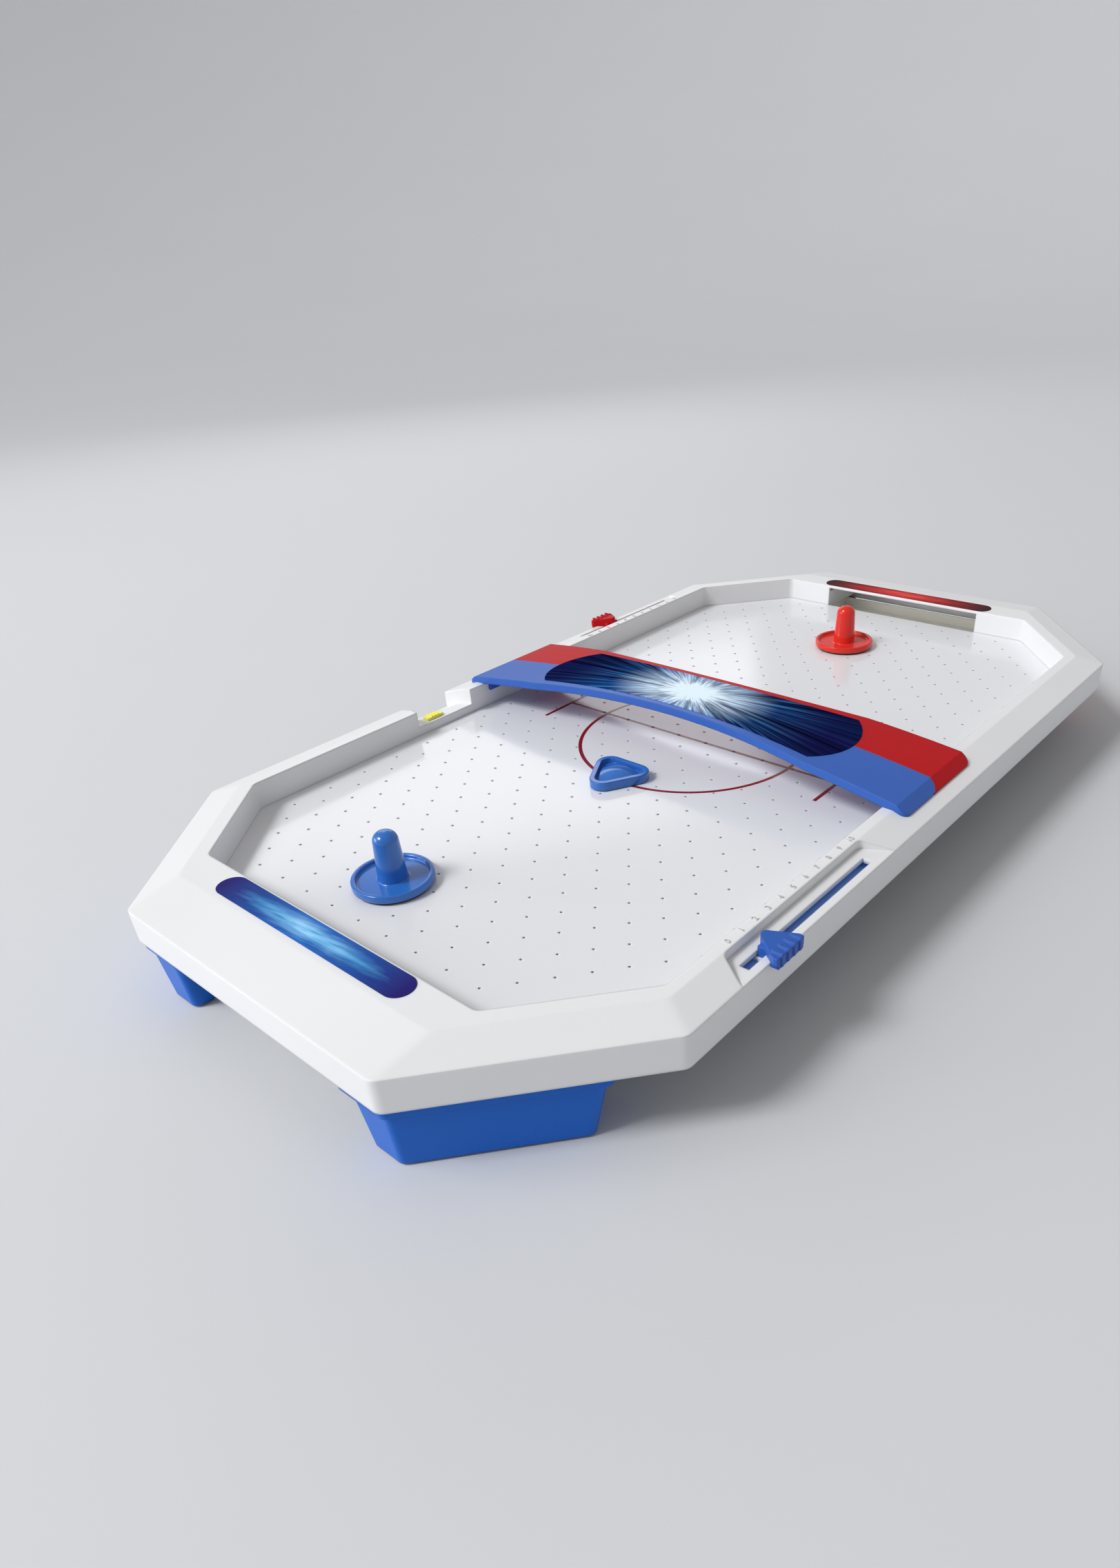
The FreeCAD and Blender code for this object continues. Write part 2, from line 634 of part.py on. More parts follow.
def table_casing():
    """White rim moulding with score recesses, switch notch, goal slots and screw bosses."""
    bosses = [rod(x, y, (FIELD, RIM_TOP - S.wall), S.boss_radius) for x, y in surface_screw_places()]
    bosses += [rod(x, y, (S.casing_bottom, RIM_TOP - S.wall * 1.5), S.boss_radius)
               for x, y in leg_screw_places()]
    bosses += [rod(x, y, (RIM_EDGE - S.wall, RIM_TOP - S.wall), S.boss_radius)
               for x, y in bridge_screw_places()]
    floors = [extrude(turned(recess_outline(S.wall), team), (RIM_EDGE - S.wall, RIM_TOP))
              for team in TEAMS]
    ledge = common(extrude(notch_outline(S.wall), (S.casing_bottom, RIM_TOP)),
                   extrude(ledge_outline(S.wall, 0), (-S.notch_end * 2, ZERO), "YZ"))
    inside = common(fuse(*(floors + [ledge])),
                    fuse(extrude(OUTER.corners(), (S.casing_bottom, RIM_EDGE)),
                         loft(OUTER.corners(), RIM_EDGE, RIDGE.corners(), RIM_TOP)))
    inside = cut(inside, extrude(PLAY.corners(), (ZERO, RIM_TOP + S.wall)))
    casing = fuse(rim_shell(), inside, *(bosses + goal_ribs()))
    tools = []
    for team in TEAMS:
        side = TEAMS[team]
        tools.append(extrude(turned(recess_outline(ZERO), team), (RIM_EDGE, RIM_TOP + S.wall)))
        tools.append(box((S.slot_start * side, S.slot_end * side),
                         ((SLOT_Y - S.slot_width / 2) * side,
                          (SLOT_Y + S.slot_width / 2) * side),
                         (S.casing_bottom, RIM_TOP)))
        tools.append(box(((WALL_X - S.wall) * side, (WALL_X + S.wall * 2) * side),
                         (-S.goal_width / 2, S.goal_width / 2), (FIELD - S.wall, FIELD + S.goal_height)))
    tools.append(common(extrude(notch_outline(ZERO), (ZERO, RIM_TOP + S.wall)),
                        extrude(ledge_outline(ZERO, S.wall), (-S.notch_end * 2, ZERO), "YZ")))
    tools.append(switch_slot())
    bore = S.screw_radius + S.bore_gap
    tools += [rod(x, y, (ZERO, RIM_EDGE - S.wall), bore) for x, y in surface_screw_places()]
    tools += [rod(x, y, (ZERO, RIM_EDGE - S.wall * 2), bore) for x, y in leg_screw_places()]
    tools += [rod(x, y, (RIM_EDGE - S.wall * 2, RIM_TOP + S.wall), bore)
              for x, y in bridge_screw_places()]
    return node(cut(casing, *tools), "table_casing")


def switch_middle():
    """Switch centre line across the table."""
    return WALL_Y + S.switch_inset


def switch_slot():
    """Opening in the notch ledge for the switch stem."""
    half = S.button_width / 2 - S.wall / 2
    reach = S.button_length / 2 - S.wall / 2
    return box((-S.switch_place - reach, -S.switch_place + reach),
               (switch_middle() - half, switch_middle() + half), (FIELD + S.part_gap, RIM_TOP))


def shape_node(label, shape):
    """A sub-part whose shape is computed here from the driving dimensions."""
    thing = doc.addObject("Part::Feature", "Shaped")
    thing.Shape = shape
    return node(thing, label)


def air_hole_places():
    """Staggered rows of air holes inside the border of the playing area."""
    reach = PLAY.grown(-S.hole_border, -S.hole_border, -S.hole_border)
    length, width, end_half = float(reach.reach_x), float(reach.reach_y), float(reach.end_half)
    rows, pitch = float(S.hole_rows), float(S.hole_pitch)
    places = []
    last_row = int(length / rows)
    for row in range(-last_row, last_row + 1):
        x = row * rows
        limit = min(width, end_half + float(S.corner_slope) * (length - abs(x)))
        shift = 0.0 if row % 2 else pitch / 2
        last = int((limit + shift) / pitch)
        places += [(x, k * pitch + shift) for k in range(-last - 1, last + 1)
                   if abs(k * pitch + shift) <= limit]
    return places


def sheet_cutouts(low, high):
    """Openings that the surface and the tray flange share: goals and switch."""
    reach = S.goal_width / 2 + S.wall
    cuts = [box((WALL_X * side, (WALL_X + S.surface_margin) * side), (-reach, reach), (low, high))
            for side in TEAMS.values()]
    half = S.switch_length / 2 + S.wall
    cuts.append(box((-S.switch_place - half, -S.switch_place + half),
                    (WALL_Y + S.wall, WALL_Y + S.surface_margin * 2), (low, high)))
    return cuts


def surface_bores(low, high):
    """Clearance bores for the screws that hold the surface."""
    bore = S.screw_radius + S.seat_gap
    return [rod(x, y, (low, high), bore) for x, y in surface_screw_places()]


def playing_surface():
    """Perforated white sheet under the casing's wall."""
    plate = cut(extrude(SHEET.corners(), (SURFACE_LOW, FIELD)),
                *(sheet_cutouts(ZERO, RIM_TOP) + surface_bores(ZERO, RIM_TOP)))
    doc.recompute()
    top = float(FIELD)
    face = max((f for f in plate.Shape.Faces if abs(f.CenterOfMass.z - top) < 1e-6), key=lambda f: f.Area)
    holes = [Part.Wire(Part.makeCircle(float(S.hole_radius), V(x, y, top))) for x, y in air_hole_places()]
    pierced = Part.makeFace(list(face.Wires) + holes, "Part::FaceMakerBullseye")
    return shape_node("playing_surface", pierced.extrude(V(0, 0, -float(S.surface_thick))))


def box_hole(low, high, grow):
    """Opening round the battery box."""
    half_x, half_y = box_half()
    return box((-S.box_place - half_x - grow, -S.box_place + half_x + grow),
               (-half_y - grow, half_y + grow), (low, high))


def cells_half():
    """Half the room inside the battery box, along and across the table."""
    length = S.cell_length + S.cap_length + S.spring_length + S.contact_thick * 2
    return (length / 2, S.cell_radius * 2 + S.cell_gap * 1.5)


def box_half():
    """Half the outside of the battery box."""
    half_x, half_y = cells_half()
    return (half_x + S.box_wall, half_y + S.box_wall)


def box_screw_places():
    """Four screws through the battery box flange."""
    half_x, half_y = box_half()
    return [(-S.box_place + (half_x - S.box_flange) * a, (half_y + S.box_flange / 2) * b)
            for a in (-1, 1) for b in (-1, 1)]


def duct_screw_places():
    """Four screws through the fan duct flange."""
    reach = (S.duct_radius + S.duct_flange) / 2 / root(as_size(2))
    return [(reach * a, reach * b) for a in (-1, 1) for b in (-1, 1)]


def motor_screw_places():
    """Two screws from the tray into the motor's face."""
    reach = (S.motor_radius + S.motor_boss) / 2
    return [(-reach, ZERO), (reach, ZERO)]


def air_tray():
    """Tray under the playing surface: the air chamber, its inlet and the motor plate."""
    shell = fuse(extrude(TRAY_OUT.corners(), (TRAY_LOW, SURFACE_LOW)),
                 extrude(SHEET.corners(), (SURFACE_LOW - S.tray_wall, SURFACE_LOW)))
    chamber = extrude(TRAY_IN.corners(), (TRAY_FLOOR, FIELD))
    bosses = [rod(x, y, (TRAY_FLOOR, TRAY_FLOOR + S.tray_wall), S.boss_radius)
              for x, y in box_screw_places() + duct_screw_places()]
    inlet = rod(ZERO, ZERO, (TRAY_LOW - S.wall, TRAY_FLOOR + S.wall), S.inlet_radius)
    span = (TRAY_LOW, TRAY_FLOOR)
    half = S.spoke_width / 2
    plate = [rod(ZERO, ZERO, span, S.motor_seat),
             box((-S.inlet_radius - S.wall, S.inlet_radius + S.wall), (-half, half), span),
             box((-half, half), (-S.inlet_radius - S.wall, S.inlet_radius + S.wall), span)]
    tray = fuse(cut(shell, chamber, inlet), *(bosses + plate))
    bore = S.screw_radius + S.bore_gap
    tools = [rod(x, y, (ZERO, RIM_TOP), bore) for x, y in box_screw_places() + duct_screw_places()]
    tools += surface_bores(ZERO, RIM_TOP) + sheet_cutouts(SURFACE_LOW - S.tray_wall * 2, RIM_TOP)[2:]
    tools += [rod(x, y, (ZERO, RIM_TOP), S.door_screw + S.bore_gap) for x, y in motor_screw_places()]
    tools.append(rod(ZERO, ZERO, (ZERO, RIM_TOP), S.motor_boss + S.seat_gap))
    tools.append(box_hole(ZERO, RIM_TOP, S.seat_gap))
    tools += [rod(x, y, (ZERO, TRAY_FLOOR + S.wall), S.wire_radius * 1.5) for x, y in motor_wire_holes()]
    tools += [cross_rod(x, (WALL_Y - S.tray_inset - S.wall, SIDE_Y), wire_level(), S.wire_radius * 1.5)
              for x in switch_wire_rows()]
    return node(cut(tray, *tools), "air_tray")


def switch_wire_rows():
    """Where the two switch wires leave the air tray, along the table."""
    reach = S.switch_length / 4
    return (-S.switch_place - reach, -S.switch_place + reach)


def wire_level():
    """Height of the wires in the air tray."""
    return TRAY_FLOOR + S.wire_radius * 1.75


def motor_wire_holes():
    """Two holes in the tray floor for the motor wires."""
    reach = S.duct_radius - S.wall * 3
    return ((-reach, S.wall * 2), (-reach, -S.wall * 2))


def fan_duct():
    """Cup under the tray that guides air to the fan inlet."""
    top = TRAY_LOW
    wall = cut(fuse(rod(ZERO, ZERO, (S.duct_bottom, top), S.duct_radius),
                    rod(ZERO, ZERO, (top - S.flange_thick, top), S.duct_flange)),
               rod(ZERO, ZERO, (ZERO, RIM_TOP), S.duct_radius - S.duct_wall))
    ledge = cut(rod(ZERO, ZERO, (S.duct_bottom + S.flange_thick, S.duct_bottom + S.flange_thick * 2),
                    S.duct_radius),
                rod(ZERO, ZERO, (ZERO, RIM_TOP), S.duct_radius - S.duct_wall * 2))
    bore = S.screw_radius + S.seat_gap
    return node(cut(fuse(wall, ledge), *[rod(x, y, (ZERO, RIM_TOP), bore) for x, y in duct_screw_places()]),
                "fan_duct")


def intake_grille():
    """Disc of rings and bars in the bottom of the duct."""
    span = (S.duct_bottom, S.duct_bottom + S.flange_thick)
    outside = S.duct_radius - S.duct_wall - S.seat_gap
    step = outside / S.grille_rings
    pieces = []
    for ring in range(int(S.grille_rings.value)):
        radius = outside - step * ring
        pieces.append(cut(rod(ZERO, ZERO, span, radius),
                          rod(ZERO, ZERO, (ZERO, RIM_TOP), radius - S.grille_bar)))
    reach = outside - S.grille_bar / 2
    half = S.grille_bar / 2
    pieces.append(box((-reach, reach), (-half, half), span))
    pieces.append(box((-half, half), (-reach, reach), span))
    return node(fuse(*pieces), "intake_grille")


def motor():
    """Flat direct-current motor under the tray."""
    can = rod(ZERO, ZERO, (TRAY_LOW - S.motor_length, TRAY_LOW), S.motor_radius)
    boss = rod(ZERO, ZERO, (TRAY_LOW, TRAY_FLOOR), S.motor_boss)
    rear = rod(ZERO, ZERO, (TRAY_LOW - S.motor_length - S.wall / 2, TRAY_LOW - S.motor_length), S.motor_boss)
    low = TRAY_LOW - S.motor_length / 2
    tabs = [box((motor_tab_x(), -S.motor_radius / 2), (y - S.wire_radius, y + S.wire_radius),
                (low - S.wire_radius, low + S.wire_radius)) for x, y in motor_wire_holes()]
    tools = [rod(ZERO, ZERO, (ZERO, RIM_TOP), S.shaft_radius + S.bore_gap)]
    tools += [rod(x, y, (TRAY_LOW - S.wall, RIM_TOP), S.door_screw + S.bore_gap)
              for x, y in motor_screw_places()]
    return node(cut(fuse(can, boss, rear, *tabs), *tools), "motor")


def motor_shaft():
    """Steel shaft through the motor and the impeller."""
    return node(rod(ZERO, ZERO, (TRAY_LOW - S.motor_length - S.wall, SURFACE_LOW - S.fan_clear),
                    S.shaft_radius), "motor_shaft")


def impeller():
    """Centrifugal fan: plate on top, blades below, open in the middle."""
    top = SURFACE_LOW - S.fan_clear
    low = TRAY_FLOOR + S.fan_clear
    pieces = [rod(ZERO, ZERO, (top - S.fan_plate, top), S.fan_radius),
              rod(ZERO, ZERO, (low, top), S.hub_radius)]
    count = int(S.blade_count.value)
    for index in range(count):
        blade = box((S.blade_inner, S.fan_radius - S.wall / 2),
                    (-S.blade_thick / 2, S.blade_thick / 2), (low, top))
        turn = doc.addObject("Part::Compound", "Blade")
        turn.Links = [blade]
        turn.Placement = FreeCAD.Placement(V(0, 0, 0), FreeCAD.Rotation(UP, 360.0 / count * index))
        pieces.append(turn)
    return node(cut(fuse(*pieces), rod(ZERO, ZERO, (ZERO, RIM_TOP), S.shaft_radius)), "impeller")


def pan_screw(x, y, head_low, tip, shank, head):
    """An upright screw with a round head below."""
    return fuse(rod(x, y, (head_low, head_low + S.head_height), head),
                rod(x, y, (head_low + S.head_height, tip), shank))


def tray_screws():
    """Screws through the tray flange and the surface into the casing."""
    seat = SURFACE_LOW - S.tray_wall
    return node(group([pan_screw(x, y, seat - S.head_height, RIM_EDGE - S.wall * 2,
                                 S.screw_radius, S.screw_head)
                       for x, y in surface_screw_places()]), "tray_screws")


def flange_screws():
    """Screws that hold the battery box and the fan duct to the tray."""
    seat = TRAY_LOW - S.flange_thick
    return node(group([pan_screw(x, y, seat - S.head_height, TRAY_FLOOR + S.tray_wall,
                                 S.screw_radius, S.screw_head)
                       for x, y in box_screw_places() + duct_screw_places()]), "flange_screws")


def motor_screws():
    """Two small screws down into the motor."""
    screws = [fuse(rod(x, y, (TRAY_FLOOR, TRAY_FLOOR + S.fan_clear / 2), S.door_screw * 1.6),
                   rod(x, y, (TRAY_LOW - S.wall, TRAY_FLOOR), S.door_screw))
              for x, y in motor_screw_places()]
    return node(group(screws), "motor_screws")


def cell_axis(side):
    """Centre line of a battery cell: across the table and its height."""
    return (S.cell_radius + S.cell_gap / 2) * side, box_ceiling() - S.cell_gap - S.cell_radius


def box_ceiling():
    """Inside top of the battery box."""
    return S.door_bottom + S.door_thick + S.cell_gap * 2 + S.cell_radius * 2


def battery_box():
    """Open-bottomed box for two cells, with a flange under the tray and hinge lugs."""
    half_x, half_y = box_half()
    in_x, in_y = cells_half()
    middle = -S.box_place
    low = S.door_bottom
    body = fuse(box((middle - half_x, middle + half_x), (-half_y, half_y), (low, box_ceiling() + S.box_wall)),
                box((middle - half_x, middle + half_x),
                    (-half_y - S.box_flange, half_y + S.box_flange), (TRAY_LOW - S.flange_thick, TRAY_LOW)))
    room = box((middle - in_x, middle + in_x), (-in_y, in_y), (ZERO, box_ceiling()))
    hinge_room = box((middle - half_x - S.wall, middle - in_x + S.wall / 2),
                     (-in_y, in_y), (ZERO, low + S.door_thick + S.hinge_radius + S.part_gap))
    post_x = middle + in_x
    post = box((post_x - S.boss_radius * 2, post_x + S.wall / 2), (-S.screw_head, S.screw_head),
               (low + S.door_thick + S.part_gap, low + S.door_thick * 3))
    screw_bore = rod(post_x - S.boss_radius, ZERO, (ZERO, box_ceiling() / 2), S.door_screw + S.seat_gap)
    pins = [cross_rod(hinge_x(), ((in_y - S.wall * 2) * side, (in_y + S.box_wall / 2) * side),
                      hinge_z(), S.hinge_pin) for side in (-1, 1)]
    slots = [box((post_x - S.contact_thick * 2, post_x),
                 (S.cell_radius * side - S.wall, S.cell_radius * side + S.wall),
                 (box_ceiling() - S.wall, box_ceiling() + S.wall * 2)) for side in (-1, 1)]
    tools = [room, hinge_room] + slots
    bores = [rod(x, y, (ZERO, RIM_TOP), S.screw_radius + S.seat_gap) for x, y in box_screw_places()]
    return node(cut(fuse(cut(body, *(tools + bores)), post, *pins), screw_bore), "battery_box")


def hinge_x():
    """Battery door hinge line along the table."""
    return -S.box_place - cells_half()[0] + S.hinge_radius


def hinge_z():
    """Battery door hinge height."""
    return S.door_bottom + S.hinge_radius


def door_screw_x():
    """Battery door screw along the table."""
    return -S.box_place + cells_half()[0] - S.boss_radius


def battery_door():
    """Door with a hinge bead that turns on the box pins."""
    half_x, half_y = cells_half()
    gap = S.part_gap
    plate = box((hinge_x(), -S.box_place + half_x - gap), (-half_y + gap, half_y - gap),
                (S.door_bottom, S.door_bottom + S.door_thick))
    bead = cross_rod(hinge_x(), (-half_y + gap, half_y - gap), hinge_z(), S.hinge_radius)
    pin_room = [cross_rod(hinge_x(), ((half_y - S.wall * 2 - gap) * side, (half_y + S.wall) * side),
                          hinge_z(),
                          S.hinge_pin + S.bore_gap) for side in (-1, 1)]
    bore = rod(door_screw_x(), ZERO, (ZERO, RIM_TOP), S.door_screw + S.seat_gap)
    sink = rod(door_screw_x(), ZERO, (ZERO, S.door_bottom + S.door_thick / 2), S.screw_head)
    return node(cut(fuse(plate, bead), bore, sink, *pin_room), "battery_door")


def battery_door_screw():
    """Captive screw of the battery door."""
    low = S.door_bottom
    middle = low + S.door_thick / 2
    return node(fuse(rod(door_screw_x(), ZERO, (low, middle), S.screw_head - S.seat_gap),
                     rod(door_screw_x(), ZERO, (middle, low + S.door_thick * 3), S.door_screw)),
                "battery_door_screw")


def cells():
    """Two size C cells in series, facing opposite ways."""
    half = cells_half()[0] - S.contact_thick
    for label, side in (("battery_cell_left", 1), ("battery_cell_right", -1)):
        y, z = cell_axis(side)
        tip = -S.box_place + half * side
        neck = tip - S.cap_length * side
        body = lying_rod((neck, neck - S.cell_length * side), y, z, S.cell_radius)
        node(fuse(body, lying_rod((tip, neck), y, z, S.cap_radius)), label)


def lug_height():
    """Height of the wire joints on the battery lugs."""
    return box_ceiling() + S.box_wall + S.wire_radius * 2


def contacts():
    """Bridge plate at one end of the battery box and two lugged plates at the other."""
    half = cells_half()[0]
    near, far = -S.box_place + half, -S.box_place - half
    y, z = cell_axis(1)
    reach = S.spring_radius + S.wall / 2
    plates = [box((far, far + S.contact_thick), (-y - reach, y + reach), (z - reach, z + reach))]
    for side in (-1, 1):
        span = (near - S.contact_thick, near)
        plates.append(fuse(box(span, (y * side - reach, y * side + reach), (z - reach, z + reach)),
                           box(span, (y * side - S.wire_radius * 2, y * side + S.wire_radius * 2),
                               (z, lug_height() + S.wire_radius))))
    return node(group(plates), "battery_contacts")


def coil(x, y, z, length):
    """A compression spring along the table's length, its wire eight-sided."""
    wire = float(S.spring_wire)
    mean = float(S.spring_radius) - wire
    span = float(length) - wire * 2
    line = Part.makeHelix(span / COIL_TURNS, span, mean)
    angles = [math.tau * number / WIRE_SIDES for number in range(WIRE_SIDES + 1)]
    ring = Part.makePolygon([V(mean + wire * math.cos(a), 0, wire * math.sin(a)) for a in angles])
    spring = Part.Wire(line.Edges).makePipeShell([ring], True, True)
    spring.rotate(V(0, 0, 0), V(0, 1, 0), 90)
    spring.translate(V(float(x) + wire, float(y), float(z)))
    return spring


def battery_springs():
    """One spring behind the flat end of each cell."""
    half = cells_half()[0] - S.contact_thick
    springs = []
    for side in (-1, 1):
        y, z = cell_axis(side)
        start = -S.box_place - half * side
        low = low_high(start, start + S.spring_length * side)[0]
        springs.append(coil(low, y, z, S.spring_length))
    return shape_node("battery_springs", Part.Compound(springs))


def switch_top():
    """Underside of the ledge above the switch."""
    return S.notch_level - S.wall


def switch_body():
    """Slide switch under the ledge, with two solder lugs."""
    half_x, half_y = S.switch_length / 2, S.switch_width / 2
    low = switch_top() - S.switch_depth
    body = box((-S.switch_place - half_x, -S.switch_place + half_x),
               (switch_middle() - half_y, switch_middle() + half_y), (low, switch_top()))
    reach = S.button_length / 2 - S.wall / 2 - S.part_gap
    well = box((-S.switch_place - reach, -S.switch_place + reach),
               (switch_middle() - S.wire_radius * 2, switch_middle() + S.wire_radius * 2),
               (switch_top() - S.switch_depth / 2, RIM_TOP))
    lugs = [box((x - S.wire_radius, x + S.wire_radius), (switch_middle() - S.wire_radius, switch_middle()
             + S.wire_radius), (low - S.wall, low)) for x in switch_wire_rows()]
    return node(fuse(cut(body, well), *lugs), "switch_body")


def switch_button():
    """Yellow sliding button on the ledge; its stem reaches into the switch."""
    half = S.button_length / 2
    width = S.button_width / 2
    rest = -S.switch_place - S.button_travel / 2
    cap_low = S.notch_level + S.part_gap / 2
    cap = box((rest - half, rest + half), (switch_middle() - width, switch_middle() + width),
              (cap_low, cap_low + S.button_height))
    ribs = [box((rest + S.wall * k - S.wall / 4, rest + S.wall * k + S.wall / 4),
                (switch_middle() - width, switch_middle() + width),
                (cap_low, cap_low + S.button_height * 1.4)) for k in (-1, 0, 1)]
    stem_half = half - S.wall / 2 - S.part_gap * 2 - S.button_travel / 2
    stem = box((rest - stem_half, rest + stem_half),
               (switch_middle() - S.wire_radius, switch_middle() + S.wire_radius),
               (switch_top() - S.switch_depth / 2 + S.part_gap, cap_low))
    return node(fuse(cap, stem, *ribs), "switch_button")


def goal_tray(team):
    """Coloured catch tray behind the goal slot."""
    side = TEAMS[team]
    low = SURFACE_LOW - S.goal_tray_depth
    near = WALL_X + S.wall + S.seat_gap
    far = WALL_X + S.goal_tray_reach
    half = S.goal_width / 2 + S.wall
    body = box((near * side, far * side), (-half, half), (low, SURFACE_LOW))
    room = box(((near + S.wall / 2) * side, (far - S.wall / 2) * side),
               (-half + S.wall / 2, half - S.wall / 2), (low + S.wall / 2, RIM_TOP))
    return node(cut(body, room), "goal_tray_" + team)


def leg_outline(inset, inner, reach, shrink=0.0):
    """Plan of a leg or its flange in the +X +Y quarter, narrowed by a shrink on every side."""
    inset, inner_y = as_size(inset) + shrink, as_size(inner) + shrink
    line = OUTER.grown(-inset, -inset, -inset)
    tail = END_X - reach + shrink
    tail_y = line.end_half + S.corner_slope * (line.reach_x - tail)
    depth = S.leg_depth - as_size(shrink) * 2
    back = (tail - depth * S.corner_slope / SLANT, tail_y - depth / SLANT)
    knee = back[0] + (back[1] - inner_y) / S.corner_slope
    points = [(line.reach_x, inner_y), (line.reach_x, line.end_half), (tail, tail_y), back, (knee, inner_y)]
    return [(x, y, S.leg_round) for x, y in points]


def in_quarter(corners, side_x, side_y):
    """An outline of the +X +Y quarter, moved to another quarter."""
    return [(c[0] * side_x, c[1] * side_y) + tuple(c[2:]) for c in corners]


def leg(name, side_x, side_y):
    """Blue corner leg: tapered cup with a flange, screw posts and a recess for its foot."""
    seat = S.casing_bottom - S.flange_height
    shape = in_quarter(leg_outline(S.leg_inset, S.leg_inner, S.leg_reach), side_x, side_y)
    foot = in_quarter(leg_outline(S.leg_inset, S.leg_inner, S.leg_reach, S.leg_taper), side_x, side_y)
    flange = in_quarter(leg_outline(S.flange_inset, S.flange_inner, S.flange_reach), side_x, side_y)
    room = in_quarter(leg_outline(S.leg_inset + S.leg_wall, S.leg_inner + S.leg_wall,
                                  S.leg_reach - S.leg_wall, S.leg_taper), side_x, side_y)
    cup = cut(fuse(loft(foot, S.pad_height, shape, seat), extrude(flange, (seat, S.casing_bottom))),
              extrude(room, (S.pad_height + S.leg_wall, S.casing_bottom + S.wall)))
    centres = [(x, y) for x, y in leg_screw_places()
               if x.value * side_x > 0 and y.value * side_y > 0]
    posts = [rod(x, y, (S.pad_height, S.casing_bottom), S.post_radius) for x, y in centres]
    tools = [rod(x, y, (ZERO, RIM_TOP), S.screw_radius + S.seat_gap) for x, y in centres]
    tools += [rod(x, y, (ZERO, S.casing_bottom - S.post_ledge), S.screw_head + S.seat_gap)
              for x, y in centres]
    return node(cut(fuse(cup, *posts), *tools), "leg_" + name)


def foot_pad(name, side_x, side_y):
    """Rubber disc under a leg."""
    x, y = corner_point((S.post_near + S.post_far) / 2, S.leg_inset + S.leg_depth / 2)
    return node(rod(x * side_x, y * side_y, (ZERO, S.pad_height), S.pad_radius), "foot_" + name)


def leg_screws():
    """Two screws up through each leg into the casing."""
    seat = S.casing_bottom - S.post_ledge
    return node(group([pan_screw(x, y, seat - S.head_height, RIM_EDGE - S.wall * 3,
                                 S.screw_radius, S.screw_head)
                       for x, y in leg_screw_places()]), "leg_screws")


def arch_radius():
    """Radius of the bridge underside, which springs from the playing area's walls."""
    return (WALL_Y * WALL_Y + S.bridge_rise * S.bridge_rise) / (S.bridge_rise * 2)


def arch_rod(extra, half):
    """Cylinder along the table's length, concentric with the bridge arch."""
    thing = doc.addObject("Part::Cylinder", "Arch")
    bind(thing, "Radius", arch_radius() + extra)
    bind(thing, "Height", as_size(half) * 2)
    thing.Placement.Rotation = FreeCAD.Rotation(V(0, 1, 0), 90)
    place(thing, -as_size(half), ZERO, RIM_TOP + S.bridge_rise - arch_radius())
    return thing


def arch_level(y, extra):
    """Height of the bridge arch at a run across the table."""
    radius = arch_radius() + extra
    return RIM_TOP + S.bridge_rise - arch_radius() + root(radius * radius - y * y)


def waisted(half, flank, reach, waist, rounding, span):
    """A prism whose long sides taper inwards and are hollowed by arcs at the middle."""
    corners = [(half, -reach, rounding), (flank, ZERO), (half, reach, rounding),
               (-half, reach, rounding), (-flank, ZERO), (-half, -reach, rounding)]
    centre = S.bridge_waist + S.waist_radius
    arc = centre - waist
    return cut(extrude(corners, span), rod(centre, ZERO, span, arc), rod(-centre, ZERO, span, arc))


def bridge_bevel(side):
    """Space above the sloping end of the bridge."""
    reach = SIDE_Y - S.bridge_inset
    start = reach - S.bridge_bevel
    rim_level = RIM_EDGE + S.bevel_drop * S.bridge_inset / (S.side_margin - S.side_band)
    foot, high = rim_level + S.bridge_foot, RIM_TOP * 2
    section = [(start, arch_level(start, S.bridge_lip)), (reach, foot), (reach + S.wall, foot),
               (reach + S.wall, high), (start, high)]
    return extrude([(y * side, z) for y, z in section], (-S.bridge_half * 2, S.bridge_half * 2), "YZ")


def bridge_half(team):
    """Half of the arched, waisted bridge, with lips, tabs and seats for its screws."""
    side = TEAMS[team]
    half, reach = S.bridge_half, SIDE_Y - S.bridge_inset
    span = (RIM_EDGE - S.wall, RIM_TOP * 2)
    whole = waisted(half, S.bridge_flank, reach, S.bridge_waist, S.bridge_round, span)
    blue_zone = extrude([(ZERO, -reach, S.seam_round), (ZERO, reach, S.seam_round),
                         (-half * 2, reach), (-half * 2, -reach)], span)
    share = common(whole, blue_zone) if team == "blue" else cut(whole, blue_zone)
    body = common(share, arch_rod(S.bridge_lip, half + S.wall))
    rim = fuse(extrude(OUTER.corners(), (S.casing_bottom, RIM_EDGE)),
               loft(OUTER.corners(), RIM_EDGE, RIDGE.corners(), RIM_TOP))
    end = reach - S.bridge_seat
    lip = S.bridge_lip_width
    inner = waisted(half - lip, S.bridge_flank - lip, end, S.bridge_waist - lip, S.bridge_round, span)
    room = common(arch_rod(S.bridge_lip - S.bridge_skin, half), inner)
    back = WALL_Y - S.part_gap
    tabs = [box((S.wall * side, (half - S.wall * 2) * side), ((back - S.tab_thick) * b, back * b),
                (RIM_TOP - S.tab_height, RIM_TOP + S.wall)) for b in (-1, 1)]
    bores = [rod(x, y, (ZERO, RIM_TOP + S.wall * 0.75), S.screw_radius + S.bore_gap)
             for x, y in bridge_screw_places() if x.value * side > 0]
    return node(cut(fuse(cut(body, rim, arch_rod(ZERO, half + S.wall), room, bridge_bevel(-1),
                             bridge_bevel(1)), *tabs), *bores), "bridge_" + team)


